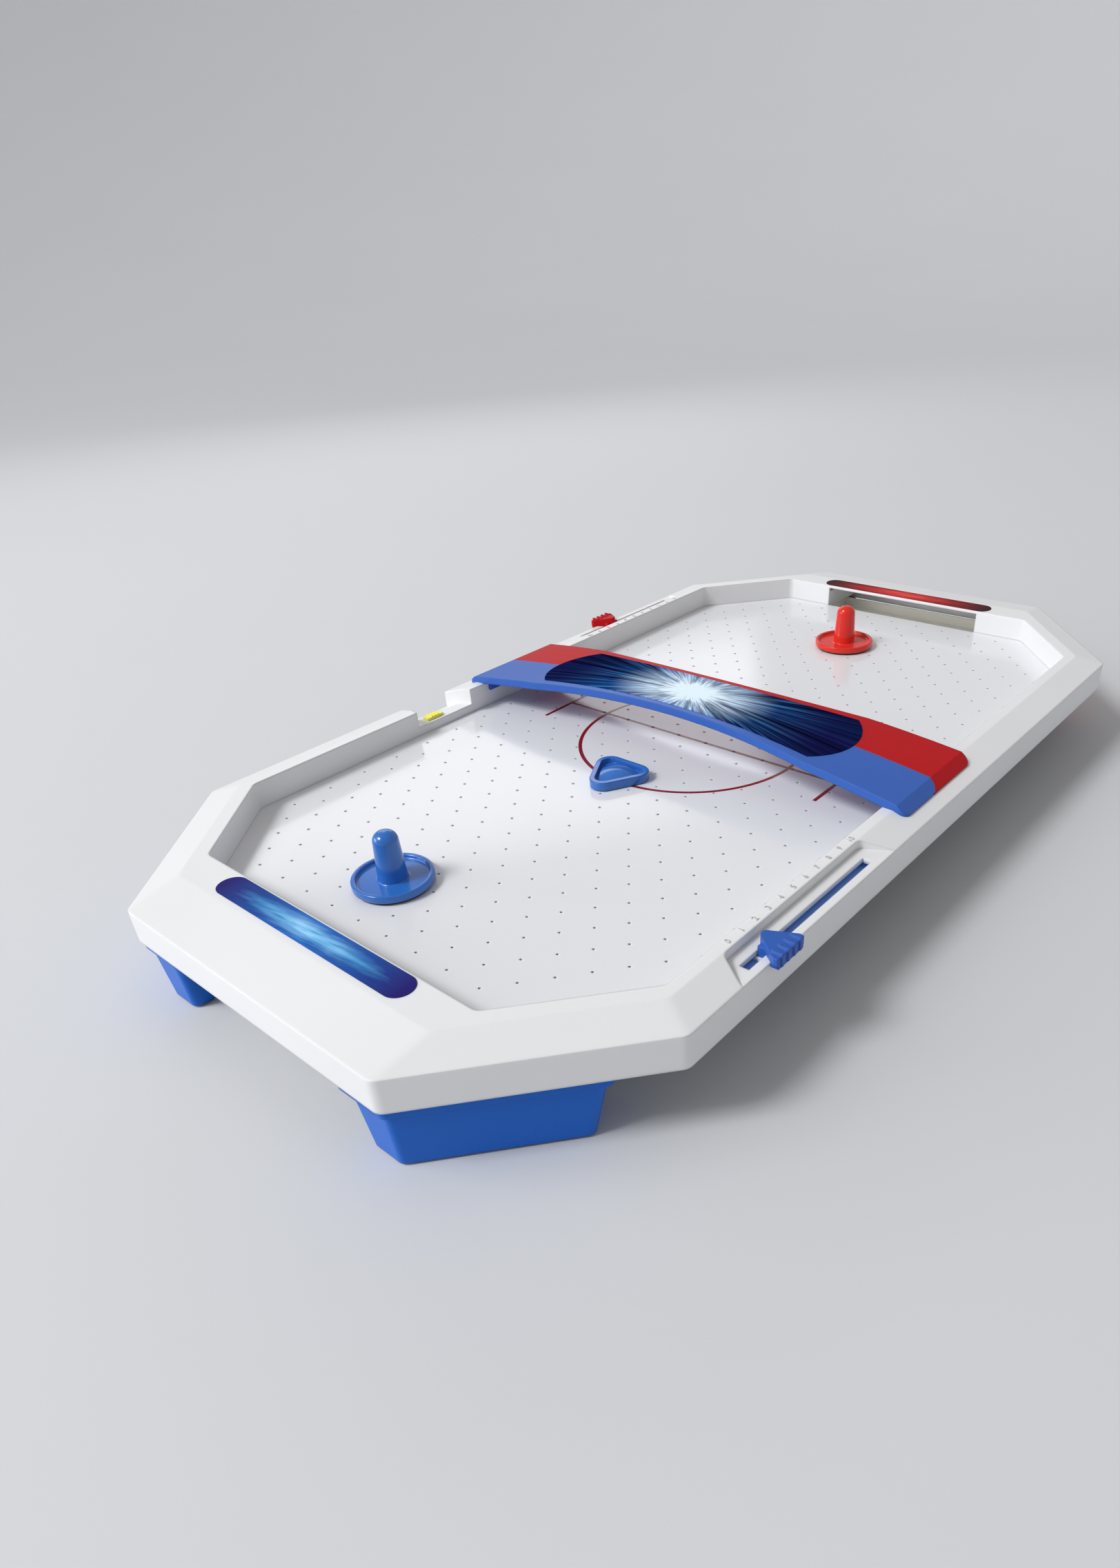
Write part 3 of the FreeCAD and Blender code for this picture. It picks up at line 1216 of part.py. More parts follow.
def bridge_screws():
    """Screws up through the rim into the bridge."""
    seat = RIM_EDGE - S.wall
    return node(group([pan_screw(x, y, seat - S.head_height, RIM_TOP + S.wall * 0.7,
                                 S.screw_radius, S.screw_head)
                       for x, y in bridge_screw_places()]), "bridge_screws")


def bridge_label():
    """Printed label over both halves of the bridge, waisted and with arched ends."""
    half, reach, bulge = S.label_half_width, S.label_reach, S.label_bulge
    radius = (half * half + bulge * bulge) / (bulge * 2)
    centre = reach + bulge - radius
    span = (RIM_EDGE, RIM_TOP * 2)
    sag = half - S.label_waist
    hollow = (reach * reach + sag * sag) / (sag * 2)
    far = S.label_waist + hollow
    strip = cut(box((-half, half), (-reach - bulge, reach + bulge), span),
                rod(far, ZERO, span, hollow), rod(-far, ZERO, span, hollow))
    ends = common(strip, fuse(rod(ZERO, centre, span, radius), rod(ZERO, -centre, span, radius)))
    middle = common(strip, box((-half, half), (-centre, centre), span))
    sheet = cut(arch_rod(S.bridge_lip + S.label_thick, S.bridge_half),
                arch_rod(S.bridge_lip, S.bridge_half * 2))
    return node(common(sheet, fuse(middle, ends)), "bridge_label")


def goal_label(team):
    """Printed label with round ends on the rim above a goal."""
    side = TEAMS[team]
    x = (WALL_X + S.goal_label_inset) * side
    radius = S.goal_label_width / 2
    reach = S.goal_label_length / 2 - radius
    span = (RIM_TOP, RIM_TOP + S.label_thick)
    return node(fuse(box((x - radius, x + radius), (-reach, reach), span),
                     rod(x, reach, span, radius), rod(x, -reach, span, radius)), "goal_label_" + team)


def slider_box(team, x_span, y_span, z_span):
    """A block given on the blue side, turned half round the table for the red side."""
    side = -TEAMS[team]
    return box([as_size(v) * side for v in x_span], [as_size(v) * side for v in y_span], z_span)


def slider_stem_low():
    """Underside of the slider clip."""
    return RIM_EDGE - S.wall - S.part_gap - S.clip_thick


def score_slider(team):
    """Arrow-shaped score marker with a finger lip, grip ribs and a stem through the slot."""
    middle = -SLIDERS[team]
    half = S.slider_width / 2
    nose, outer = S.slider_nose - SIDE_Y, -SIDE_Y - S.slider_outer
    shoulder = outer + S.wall
    low = RIM_EDGE + S.part_gap
    top = low + S.slider_thick
    crest = top + S.slider_rise
    arrow = turned([(middle, nose, S.nose_round), (middle - half, shoulder, S.slider_round),
                    (middle - half, outer, S.slider_round), (middle + half, outer, S.slider_round),
                    (middle + half, shoulder, S.slider_round)], team)
    lip_face = -SIDE_Y - S.part_gap
    side = -TEAMS[team]
    slope = [(outer * side, top), (nose * side, crest), (nose * side, crest + S.wall),
             (outer * side - S.wall * side, crest + S.wall), (outer * side - S.wall * side, top)]
    span = low_high((middle - S.slider_width) * side, (middle + S.slider_width) * side)
    pieces = [cut(extrude(arrow, (low, crest)), extrude(slope, span, "YZ")),
              slider_box(team, (middle - half + S.slider_round, middle + half - S.slider_round),
                         (outer, lip_face), (low - S.slider_lip, low + S.wall)),
              slider_box(team, (middle - S.stem_length / 2, middle + S.stem_length / 2),
                         (-SLOT_Y - S.slot_width / 2 + S.part_gap,
                          -SLOT_Y + S.slot_width / 2 - S.part_gap),
                         (slider_stem_low(), low + S.wall))]
    for index in range(GRIP_RIBS):
        x = middle + S.grip_pitch * (index - (GRIP_RIBS - 1) / 2)
        x_span = (x - S.grip_width / 2, x + S.grip_width / 2)
        pieces.append(slider_box(team, x_span, (outer - S.wall / 4, outer + S.slider_width / 4),
                                 (low, top + S.wall / 2)))
        pieces.append(slider_box(team, x_span, (outer - S.wall / 4, lip_face),
                                 (low - S.slider_lip + S.wall / 4, low + S.wall)))
    return node(fuse(*pieces), "score_slider_" + team)


def slider_clip(team):
    """Clip pressed on the stem below the slot."""
    middle = -SLIDERS[team]
    half = S.stem_length / 2
    y_low = -SLOT_Y - S.slot_width / 2
    y_high = -SLOT_Y + S.slot_width / 2
    span = (slider_stem_low(), slider_stem_low() + S.clip_thick)
    plate = slider_box(team, (middle - half - S.wall / 2, middle + half + S.wall / 2),
                       (y_low - S.clip_margin, y_high + S.clip_margin), span)
    eye = slider_box(team, (middle - half, middle + half), (y_low + S.part_gap, y_high - S.part_gap), span)
    return node(cut(plate, eye), "slider_clip_" + team)


def score_track(team):
    """Coloured strip below the slot, hung from the recess floor at both ends."""
    top = slider_stem_low() - S.part_gap
    start, end = -S.slot_start + S.wall, -S.slot_end - S.wall
    y_span = (-SLOT_Y - S.slot_width * 0.85, -SLOT_Y + S.slot_width * 0.85)
    block = S.wall * 1.2
    pieces = [slider_box(team, (start + block, end - block), y_span, (top - S.track_thick, top))]
    for edge, grow in ((start, block), (end, -block)):
        pieces.append(slider_box(team, (edge, edge + grow), y_span, (top - S.track_thick, RIM_EDGE - S.wall)))
    return node(fuse(*pieces), "score_track_" + team)


def round_edges(body, feature, levels, radius):
    """Round the turned edges of a body that lie at the given heights."""
    doc.recompute()
    rounding = body.newObject("PartDesign::Fillet", "Round")
    rounding.Base = (feature, ["Edge%d" % number for number in level_edges(feature.Shape, levels)])
    bind(rounding, "Radius", radius)
    return rounding


def turned_body(label, profile, roundings, x, y, z):
    """A PartDesign body turned from a radial profile, rounded, and set at a driven place."""
    body = doc.addObject("PartDesign::Body", "Turned")
    plane = [f for f in body.Origin.OriginFeatures if f.Role == "XZ_Plane"][0]
    sketch = body.newObject("Sketcher::SketchObject", "Profile")
    sketch.AttachmentSupport = [(plane, "")]
    sketch.MapMode = "FlatFace"
    draw(sketch, profile)
    feature = body.newObject("PartDesign::Revolution", "Turn")
    feature.Profile = sketch
    feature.ReferenceAxis = (sketch, ["V_Axis"])
    feature.Angle = 360
    for levels, radius in roundings:
        feature = round_edges(body, feature, levels, radius)
    body.Tip = feature
    place(body, x, y, z)
    return node(body, label)


def mallet_seat():
    """Underside of the mallet felts, just clear of the playing surface."""
    return FIELD + S.part_gap


def mallet(team, x, y):
    """Dished mallet with a domed knob."""
    dish = S.mallet_radius - S.mallet_rim_width
    profile = [(ZERO, ZERO), (S.mallet_radius, ZERO), (S.mallet_radius, S.mallet_rim),
               (dish, S.mallet_rim), (dish, S.mallet_floor), (S.knob_base_radius, S.mallet_floor),
               (S.knob_top_radius, S.mallet_height), (ZERO, S.mallet_height)]
    roundings = [((ZERO, S.mallet_floor, S.mallet_rim), S.knob_edge), ((S.mallet_height,), S.knob_dome)]
    return turned_body("mallet_" + team, profile, roundings, x, y, mallet_seat() + S.felt_thick)


def mallet_felt(team, x, y):
    """Felt disc under a mallet."""
    return node(rod(x, y, (mallet_seat(), mallet_seat() + S.felt_thick), S.mallet_radius - S.felt_inset),
                "felt_" + team)


def rounded_triangle(inset, low, high):
    """Prism of the puck's outline, moved in by an inset."""
    reach = S.puck_reach + S.puck_corner * 2 - as_size(inset) * 2
    middle_x, middle_y = -S.puck_place, S.puck_side
    rounding = S.puck_corner - inset
    wing = reach * math.sqrt(0.75)
    corners = [(middle_x - reach, middle_y, rounding), (middle_x + reach / 2, middle_y - wing, rounding),
               (middle_x + reach / 2, middle_y + wing, rounding)]
    return extrude(corners, (low, high))


def puck():
    """Three-cornered puck with an edge bead and a domed middle."""
    low = FIELD + S.part_gap
    body = cut(rounded_triangle(S.knob_edge / 2, low, low + S.puck_thick),
               rounded_triangle(S.puck_bead + S.knob_edge / 2, low + S.puck_floor, RIM_TOP))
    edge = rounded_triangle(ZERO, low + S.knob_edge / 2, low + S.puck_thick - S.knob_edge / 2)
    ring = cut(edge, rounded_triangle(S.puck_bead, low + S.puck_floor, RIM_TOP))
    ball = doc.addObject("Part::Sphere", "Dome")
    bind(ball, "Radius", S.puck_ball)
    place(ball, -S.puck_place, S.puck_side, low + S.puck_dome_height - S.puck_ball)
    dome = common(ball, rounded_triangle(S.puck_bead + S.puck_valley, low + S.puck_floor / 2, RIM_TOP))
    return node(fuse(body, ring, dome), "puck_blue")


def rounded_path(points, bend):
    """Straight runs through the points with tangent arcs at the corners."""
    corners = [V(*[float(v) for v in p]) for p in points]
    edges = []
    start = corners[0]
    for before, corner, after in zip(corners, corners[1:], corners[2:]):
        back = (before - corner).normalize()
        ahead = (after - corner).normalize()
        half = back.getAngle(ahead) / 2
        reach = bend / math.tan(half)
        first, last = corner + back * reach, corner + ahead * reach
        middle = corner + (back + ahead).normalize() * (bend / math.sin(half) - bend)
        edges.append(Part.makeLine(start, first))
        edges.append(Part.Arc(first, middle, last).toShape())
        start = last
    edges.append(Part.makeLine(start, corners[-1]))
    return Part.Wire(edges)


def wire_node(label, points):
    """An insulated wire along a route."""
    path = rounded_path(points, float(S.wire_radius) * 2)
    direction = V(*[float(v) for v in points[1]]) - V(*[float(v) for v in points[0]])
    ring = Part.Wire(Part.makeCircle(float(S.wire_radius), V(*[float(v) for v in points[0]]), direction))
    return shape_node(label, path.makePipeShell([ring], True, False))


def wires():
    """Battery to switch, switch to motor, motor to battery."""
    near = -S.box_place + cells_half()[0]
    left, level, high = cell_axis(1)[0], wire_level(), lug_height()
    near_row, far_row = switch_wire_rows()[1], switch_wire_rows()[0]
    lug_low = switch_top() - S.switch_depth - S.wall
    drop_x, hole_y = motor_wire_holes()[0]
    low = TRAY_LOW - S.motor_length / 2
    tab = motor_tab_x()
    turn_y = box_half()[1] + S.box_flange + S.boss_radius + S.wall
    cross_y = turn_y + S.wire_step
    pass_x = drop_x - S.wire_pass
    wire_node("wire_battery_switch", [
        (near, left, high), (near + S.wire_lead, left, high), (near + S.wire_lead, left, level),
        (near + S.wire_lead, turn_y, level),
        (far_row, turn_y, level), (far_row, switch_middle(), level), (far_row, switch_middle(), lug_low)])
    wire_node("wire_switch_motor", [
        (near_row, switch_middle(), lug_low), (near_row, switch_middle(), level),
        (near_row, cross_y, level), (pass_x, cross_y, level), (pass_x, hole_y, level),
        (drop_x, hole_y, level),
        (drop_x, hole_y, low), (tab, hole_y, low)])
    wire_node("wire_motor_battery", [
        (near, -left, high), (near + S.wire_lead, -left, high), (near + S.wire_lead, -left, level),
        (drop_x, -left, level),
        (drop_x, -hole_y, level), (drop_x, -hole_y, low), (tab, -hole_y, low)])


def motor_tab_x():
    """Outer face of the motor's solder tabs."""
    return -S.motor_radius - S.wall


def main():
    """Build every sub-part, check it and write its file."""
    table_casing()
    playing_surface()
    air_tray()
    fan_duct()
    intake_grille()
    motor()
    motor_shaft()
    impeller()
    tray_screws()
    flange_screws()
    motor_screws()
    cells()
    contacts()
    battery_springs()
    battery_box()
    battery_door()
    battery_door_screw()
    switch_body()
    switch_button()
    leg_screws()
    for name, (side_x, side_y) in QUARTERS.items():
        leg(name, side_x, side_y)
        foot_pad(name, side_x, side_y)
    bridge_screws()
    bridge_label()
    for team in TEAMS:
        bridge_half(team)
        goal_tray(team)
        goal_label(team)
        score_slider(team)
        slider_clip(team)
        score_track(team)
    for team, x, y in MALLETS:
        mallet(team, x, y)
        mallet_felt(team, x, y)
    puck()
    wires()
    doc.recompute()
    for thing in doc.Objects:
        if "Invalid" in thing.State or "Error" in thing.State:
            raise RuntimeError("%s (%s) did not build" % (thing.Name, thing.TypeId))
    for thing in nodes:
        if thing.Shape.isNull() or not thing.Shape.isValid():
            raise RuntimeError("%s has no valid shape" % thing.Label)
    for thing in nodes:
        thing.Shape.exportStep("parts/%s.step" % thing.Label)


main()
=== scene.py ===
"""Tabletop air hockey: finishes, printed stickers, raised score numbers, floor, lights and camera."""
import math

import bpy
from mathutils import Matrix, Vector


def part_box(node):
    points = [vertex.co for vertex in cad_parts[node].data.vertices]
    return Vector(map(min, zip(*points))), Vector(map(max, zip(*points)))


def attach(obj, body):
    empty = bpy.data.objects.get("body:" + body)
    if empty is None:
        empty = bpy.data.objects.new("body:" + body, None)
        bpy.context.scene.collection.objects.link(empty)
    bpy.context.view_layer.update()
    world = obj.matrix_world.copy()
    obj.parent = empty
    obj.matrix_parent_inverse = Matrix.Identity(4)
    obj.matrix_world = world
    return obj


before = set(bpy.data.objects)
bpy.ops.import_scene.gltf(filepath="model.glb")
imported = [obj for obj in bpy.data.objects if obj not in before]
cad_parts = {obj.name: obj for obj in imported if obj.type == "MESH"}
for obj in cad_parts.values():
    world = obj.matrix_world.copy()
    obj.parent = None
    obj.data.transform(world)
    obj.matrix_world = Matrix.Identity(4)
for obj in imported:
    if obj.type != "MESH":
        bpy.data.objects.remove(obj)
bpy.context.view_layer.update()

MM = 0.001
TEAMS = ("blue", "red")


# ---------------------------------------------------------------- shader maths

class Value:
    """A node's output that takes part in arithmetic."""

    def __init__(self, finish, socket):
        self.finish = finish
        self.socket = socket

    def maths(self, operation, *others, clamp=False):
        """This value and the others put through one maths node."""
        return self.finish.node("ShaderNodeMath", {"operation": operation, "use_clamp": clamp},
                                dict(enumerate((self,) + others)))

    def __add__(self, other):
        return self.maths("ADD", other)

    def __sub__(self, other):
        return self.maths("SUBTRACT", other)

    def __mul__(self, other):
        return self.maths("MULTIPLY", other)

    def __truediv__(self, other):
        return self.maths("DIVIDE", other)

    def __rsub__(self, other):
        return (self * -1) + other

    __radd__ = __add__
    __rmul__ = __mul__

    def __abs__(self):
        return self.maths("ABSOLUTE")

    def __pow__(self, other):
        return self.maths("POWER", other)

    def least(self, other):
        """The smaller of the two."""
        return self.maths("MINIMUM", other)

    def most(self, other):
        """The larger of the two."""
        return self.maths("MAXIMUM", other)

    def held(self):
        """Kept between 0 and 1."""
        return self.maths("ADD", 0.0, clamp=True)

    def rise(self, low, high):
        """0 below low, 1 above high, smooth between."""
        return self.finish.node("ShaderNodeMapRange", {"interpolation_type": "SMOOTHSTEP"},
                                {"Value": self, "From Min": low, "From Max": high})


CONSTANTS = {"shine": "Specular IOR Level", "coat": "Coat Weight", "coat_roughness": "Coat Roughness",
             "sheen": "Sheen Weight"}


class Finish:
    """A procedural material on one Principled BSDF."""

    def __init__(self, name):
        self.material = bpy.data.materials.new(name)
        self.material.use_nodes = True
        self.tree = self.material.node_tree
        self.shader = self.tree.nodes["Principled BSDF"]

    def node(self, kind, settings=None, values=None, out=0):
        """A node of a kind, with its settings made first, then its sockets' values or links."""
        node = self.tree.nodes.new(kind)
        for name, value in (settings or {}).items():
            setattr(node, name, value)
        for name, value in (values or {}).items():
            self.feed(node.inputs[name], value)
        return Value(self, node.outputs[out])

    def feed(self, socket, value):
        """Link a value to a socket, or write a plain number on it."""
        if isinstance(value, Value):
            self.tree.links.new(value.socket, socket)
        else:
            socket.default_value = value

    def set(self, **values):
        """Put values or links on the shader's sockets; an underscore stands for a space."""
        for name, value in values.items():
            socket = self.shader.inputs[name.replace("_", " ")]
            if isinstance(value, (tuple, list)) and len(value) == 3:
                value = tuple(value) + (1.0,) if socket.type == "RGBA" else value
            self.feed(socket, value)

    def hold(self, **values):
        """Put plain numbers on the shader's sockets, by their short names."""
        for name, value in values.items():
            self.shader.inputs[CONSTANTS[name]].default_value = value

    def place(self):
        """Place on the object, in metres, as x, y and z."""
        where = self.node("ShaderNodeTexCoord", out="Object")
        split = self.node("ShaderNodeSeparateXYZ", values={"Vector": where}).socket.node
        return where, [Value(self, split.outputs[axis]) for axis in "XYZ"]

    def vector(self, x, y, z):
        """Three values made one vector."""
        return self.node("ShaderNodeCombineXYZ", values={"X": x, "Y": y, "Z": z})

    def noise(self, where, scale, detail=3.0, rough=0.5):
        """Cloudy noise around 0.5."""
        return self.node("ShaderNodeTexNoise", values={"Vector": where, "Scale": scale,
                                                       "Detail": detail, "Roughness": rough})

    def mix(self, amount, first, second):
        """Blend two colours by an amount."""
        node = self.tree.nodes.new("ShaderNodeMix")
        node.data_type = "RGBA"
        factor, colour_a, colour_b, result = 0, 6, 7, 2
        self.feed(node.inputs[factor], amount)
        for index, colour in ((colour_a, first), (colour_b, second)):
            given = colour if isinstance(colour, Value) else tuple(colour) + (1.0,)
            self.feed(node.inputs[index], given)
        return Value(self, node.outputs[result])

    def bump(self, height, strength, distance, normal=None):
        """Normal raised by a height, over another normal where one is given."""
        values = {"Height": height, "Strength": strength, "Distance": distance}
        if normal is not None:
            values["Normal"] = normal
        return self.node("ShaderNodeBump", values=values)

    def soft_edge(self, radius):
        """Normal that rounds the part's edges."""
        return self.node("ShaderNodeBevel", {"samples": 6}, {"Radius": radius})


def shade(colour, factor):
    """A colour made lighter or darker."""
    return tuple(min(1.0, channel * factor) for channel in colour)


GRAIN_HEIGHT = 0.1 * MM
PLASTIC_IOR = 1.5


def moulded(name, colour, roughness, grain, edge=0.0, coat=0.0, shine=0.5):
    """Injection-moulded plastic: fine grain, slight cloudiness and uneven gloss."""
    finish = Finish(name)
    where, _ = finish.place()
    cloud = finish.noise(where, 9.0, 2.0)
    uneven = finish.noise(where, 60.0, 4.0)
    fine = finish.noise(where, 1400.0, 2.0)
    finish.set(Base_Color=finish.mix(cloud, shade(colour, 0.95), shade(colour, 1.04)),
               Roughness=roughness + (uneven - 0.5) * 0.10, IOR=PLASTIC_IOR)
    finish.hold(shine=shine, coat=coat, coat_roughness=0.08)
    base = finish.soft_edge(edge) if edge else None
    finish.set(Normal=finish.bump(fine, grain, GRAIN_HEIGHT, base))
    return finish


# ---------------------------------------------------------------- colours

WHITE = (0.80, 0.80, 0.81)
SHEET_WHITE = (0.77, 0.775, 0.80)
# Goal tray cream: the plastic's own cream, made lighter as painted light for the dim pocket seen
# through the goal slot.
CREAM_WITH_PAINTED_LIGHT = (0.88, 0.86, 0.78)
# Score track colours: the plastic's colour made several times lighter, as painted light for the strip
# lying in the slot's shade.
TRACK_BLUE_PAINTED_LIGHT = (0.22, 0.43, 1.0)
TRACK_RED_PAINTED_LIGHT = (0.85, 0.08, 0.07)
BLUE = (0.034, 0.118, 0.47)
LEG_BLUE = (0.004, 0.125, 0.58)
RED = (0.48, 0.009, 0.012)
GLOSS_BLUE = (0.028, 0.15, 0.52)
GLOSS_RED = (0.70, 0.030, 0.020)
NIGHT = (0.002, 0.003, 0.020)
INDIGO = (0.022, 0.018, 0.17)
MID_BLUE = (0.012, 0.13, 0.50)
SKY_BLUE = (0.10, 0.45, 0.85)
ICE = (0.78, 0.92, 1.0)
YELLOW = (0.90, 0.86, 0.10)
LINE_RED = (0.24, 0.005, 0.010)
# Painted shade: grey laid on the sheet around each air hole.
HOLE_SHADE_GREY = (0.36, 0.36, 0.37)
DULL_WHITE = (0.62, 0.63, 0.64)
BLACK = (0.020, 0.020, 0.022)
COOL_LIGHT = (0.97, 0.985, 1.0)
WARM_SKY = (1.0, 0.975, 0.95, 1.0)


# ---------------------------------------------------------------- finishes

def length(first, second):
    """Length of a flat vector from its two shares."""
    return (first * first + second * second) ** 0.5


def air_holes(finish, x, y):
    """Distance to the nearest air hole, and 1 where there is such a hole."""
    row_step, hole_step = 11.7 * MM, 19.75 * MM
    reach_x, reach_y = 248 * MM, 132.5 * MM
    end_half, corner_slope = 89.8 * MM, 0.8635
    row = (x / row_step).maths("ROUND")
    shift = (1 - abs(row).maths("MODULO", 2)) * (hole_step / 2)
    hole_x = row * row_step
    hole_y = ((y - shift) / hole_step).maths("ROUND") * hole_step + shift
    side_room = reach_y - abs(hole_y)
    corner_room = end_half + (reach_x - abs(hole_x)) * corner_slope - abs(hole_y)
    is_hole = side_room.least(corner_room).rise(-0.1 * MM, 0.0)
    return length(x - hole_x, y - hole_y), is_hole


def field_sheet():
    """Polished white sheet with punched holes, its red centre line, end ticks and circle."""
    finish = Finish("field_sheet")
    where, (x, y, z) = finish.place()
    half_width, blur = 1.1 * MM, 0.12 * MM
    line_reach, tick_reach, ring_radius = 96.5 * MM, 24 * MM, 66 * MM
    underside, top = 38.5 * MM, 39.5 * MM
    hole_radius, hole_shade_radius, dimple_radius = 0.6 * MM, 0.85 * MM, 1.3 * MM
    dimple_depth = 0.4 * MM

    def stroke(distance):
        return distance.rise(half_width + blur, half_width - blur)

    line_end = line_reach + half_width
    line = stroke(abs(x)) * abs(y).rise(line_end, line_end - blur)
    ticks = stroke(abs(abs(y) - line_reach)) * abs(x).rise(tick_reach + blur, tick_reach)
    circle = stroke(abs(length(x, y) - ring_radius))
    ink = line.most(ticks).most(circle) * z.rise(underside, top)
    worn = finish.noise(where, 700.0, 2.0).rise(0.20, 0.42)
    cloud = finish.noise(where, 7.0, 3.0)
    uneven = finish.noise(where, 45.0, 4.0)
    distance, is_hole = air_holes(finish, x, y)
    # Painted shade: a grey ring on the sheet's top around each air hole, outside the hole itself.
    painted_hole_shade = distance.rise(hole_shade_radius, hole_radius) * is_hole
    dimple = distance.rise(dimple_radius, hole_radius) * is_hole
    sheet = finish.mix(cloud, shade(SHEET_WHITE, 0.975), shade(SHEET_WHITE, 1.02))
    sheet = finish.mix(ink * (0.86 + worn * 0.14), sheet, LINE_RED)
    sheet = finish.mix((painted_hole_shade * 0.6).held(), sheet, HOLE_SHADE_GREY)
    finish.set(Base_Color=sheet, IOR=PLASTIC_IOR, Roughness=0.11 + uneven * 0.06 + ink * 0.10)
    grain = finish.bump(finish.noise(where, 1100.0, 2.0), 0.03, GRAIN_HEIGHT)
    finish.set(Normal=finish.bump(1 - dimple, 0.35, dimple_depth, grain))
    return finish


def streaks(finish, x, y, reach, scale):
    """Uneven rays that run out from the middle, 0 to 1."""
    return finish.noise(finish.vector(x / reach, y / reach, 0.3), scale, 3.0, 0.65)


def bridge_print():
    """Generic sticker: rays of light on midnight blue, dark towards both ends."""
    finish = Finish("bridge_print")
    _, (x, y, _) = finish.place()
    glow_reach, heart = 90 * MM, 2 * MM
    burst_edge, burst_middle = 58 * MM, 8 * MM
    white_edge, white_middle = 26 * MM, 4 * MM
    x = x * 1.5
    reach = length(x, y) + heart
    rays = streaks(finish, x, y, reach, 8.0)
    fine = streaks(finish, x, y, reach, 26.0)
    glow = (1 - abs(y) / glow_reach).held() ** 1.7
    light = ((rays - 0.45) * 5.0).held() * (0.06 + 0.94 * glow)
    colour = finish.mix(((fine - 0.42) * 3.0).held() * 0.60, NIGHT, INDIGO)
    colour = finish.mix((light * 1.2 + glow * glow * 0.35).held(), colour, MID_BLUE)
    colour = finish.mix(((fine - 0.50) * 6.0).held() * (glow * 1.3).held(), colour, SKY_BLUE)
    burst = reach.rise(burst_edge, burst_middle)
    burst = burst * ((rays - 0.28) * 3.2).held() * ((fine - 0.20) * 2.4).held()
    colour = finish.mix((burst * 1.5 + reach.rise(white_edge, white_middle)).held(), colour, ICE)
    finish.set(Base_Color=colour, Roughness=0.30 + fine * 0.06)
    finish.hold(shine=0.0)
    finish.set(Normal=finish.bump(rays, 0.02, GRAIN_HEIGHT))
    return finish


GOAL_COLOURS = {
    "blue": ((0.020, 0.014, 0.15), (0.012, 0.14, 0.52), (0.12, 0.50, 0.86), ICE),
    "red": ((0.03, 0.001, 0.002), (0.44, 0.006, 0.010), (0.72, 0.025, 0.018), (0.92, 0.22, 0.18))}


def goal_print(team):
    """Generic sticker: a band of light along the middle, dark at both ends."""
    finish = Finish("goal_print_" + team)
    _, (x, y, _) = finish.place()
    dark, middle, bright, core = GOAL_COLOURS[team]
    glow_reach = 62 * MM
    low, high = (corner[0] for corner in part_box("goal_label_" + team))
    across = abs(x - (low + high) / 2) / (high - low) * 2
    lines = finish.noise(finish.vector(y * 0.12, x + y * 0.10, 0.2), 520.0, 2.0)
    glow = (1 - abs(y) / glow_reach).held() ** 0.9
    beam = (1 - across).held()
    colour = finish.mix((glow * 1.1 * (0.40 + lines)).held(), dark, middle)
    colour = finish.mix((glow * 1.7 * beam * (0.25 + lines * 1.1) - 0.22).held(), colour, bright)
    sparkle = ((glow - 0.50) * 1.4 * beam * ((lines - 0.30) * 2.4)).held()
    colour = finish.mix(sparkle * 0.7, colour, core)
    finish.set(Base_Color=colour, Roughness=0.32 + lines * 0.06)
    finish.hold(shine=0.04)
    finish.set(Normal=finish.bump(lines, 0.02, GRAIN_HEIGHT))
    return finish


def felt_cloth():
    """Short black felt."""
    finish = Finish("felt_cloth")
    where, _ = finish.place()
    fibre = finish.noise(where, 2600.0, 4.0, 0.7)
    finish.set(Base_Color=finish.mix(fibre, (0.008, 0.008, 0.009), (0.045, 0.045, 0.048)),
               Roughness=0.95)
    finish.hold(sheen=0.4)
    finish.set(Normal=finish.bump(fibre, 0.7, 0.3 * MM))
    return finish


def rubber_pad():
    """Soft black rubber with a dull bloom."""
    finish = Finish("rubber_pad")
    where, _ = finish.place()
    bloom = finish.noise(where, 160.0, 4.0)
    finish.set(Base_Color=finish.mix(bloom, (0.018, 0.018, 0.018), (0.05, 0.05, 0.048)),
               Roughness=0.70 + bloom * 0.18)
    finish.set(Normal=finish.bump(finish.noise(where, 900.0, 3.0), 0.25, 0.2 * MM))
    return finish


def plated_steel(name, colour, roughness):
    """Zinc-plated or nickelled steel with fine drawing lines."""
    finish = Finish(name)
    where, (x, y, z) = finish.place()
    drawn = finish.noise(finish.vector(x * 0.2, y * 0.2, z * 4.0), 900.0, 3.0)
    stain = finish.noise(where, 140.0, 3.0)
    finish.set(Base_Color=finish.mix(stain, shade(colour, 0.82), shade(colour, 1.08)), Metallic=1.0,
               Roughness=roughness + drawn * 0.14)
    finish.set(Normal=finish.bump(drawn, 0.10, GRAIN_HEIGHT))
    return finish


def cell_jacket():
    """Plain cell jacket: dark body, brass-coloured band and steel cap at each end."""
    finish = Finish("cell_jacket")
    where, (x, _, _) = finish.place()
    cap, band_width, blur = 3.2 * MM, 12.8 * MM, 0.2 * MM
    low, high = (corner[0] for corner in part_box("battery_cell_left"))
    half = (high - low) / 2
    off = abs(x - (low + high) / 2)
    steel = off.rise(half - cap - blur, half - cap)
    band = off.rise(half - band_width - blur, half - band_width)
    colour = finish.mix(band, (0.012, 0.012, 0.014), (0.42, 0.30, 0.10))
    colour = finish.mix(steel, colour, (0.55, 0.55, 0.56))
    finish.set(Base_Color=colour, Metallic=steel, Roughness=0.28 + finish.noise(where, 90.0) * 0.12)
    return finish


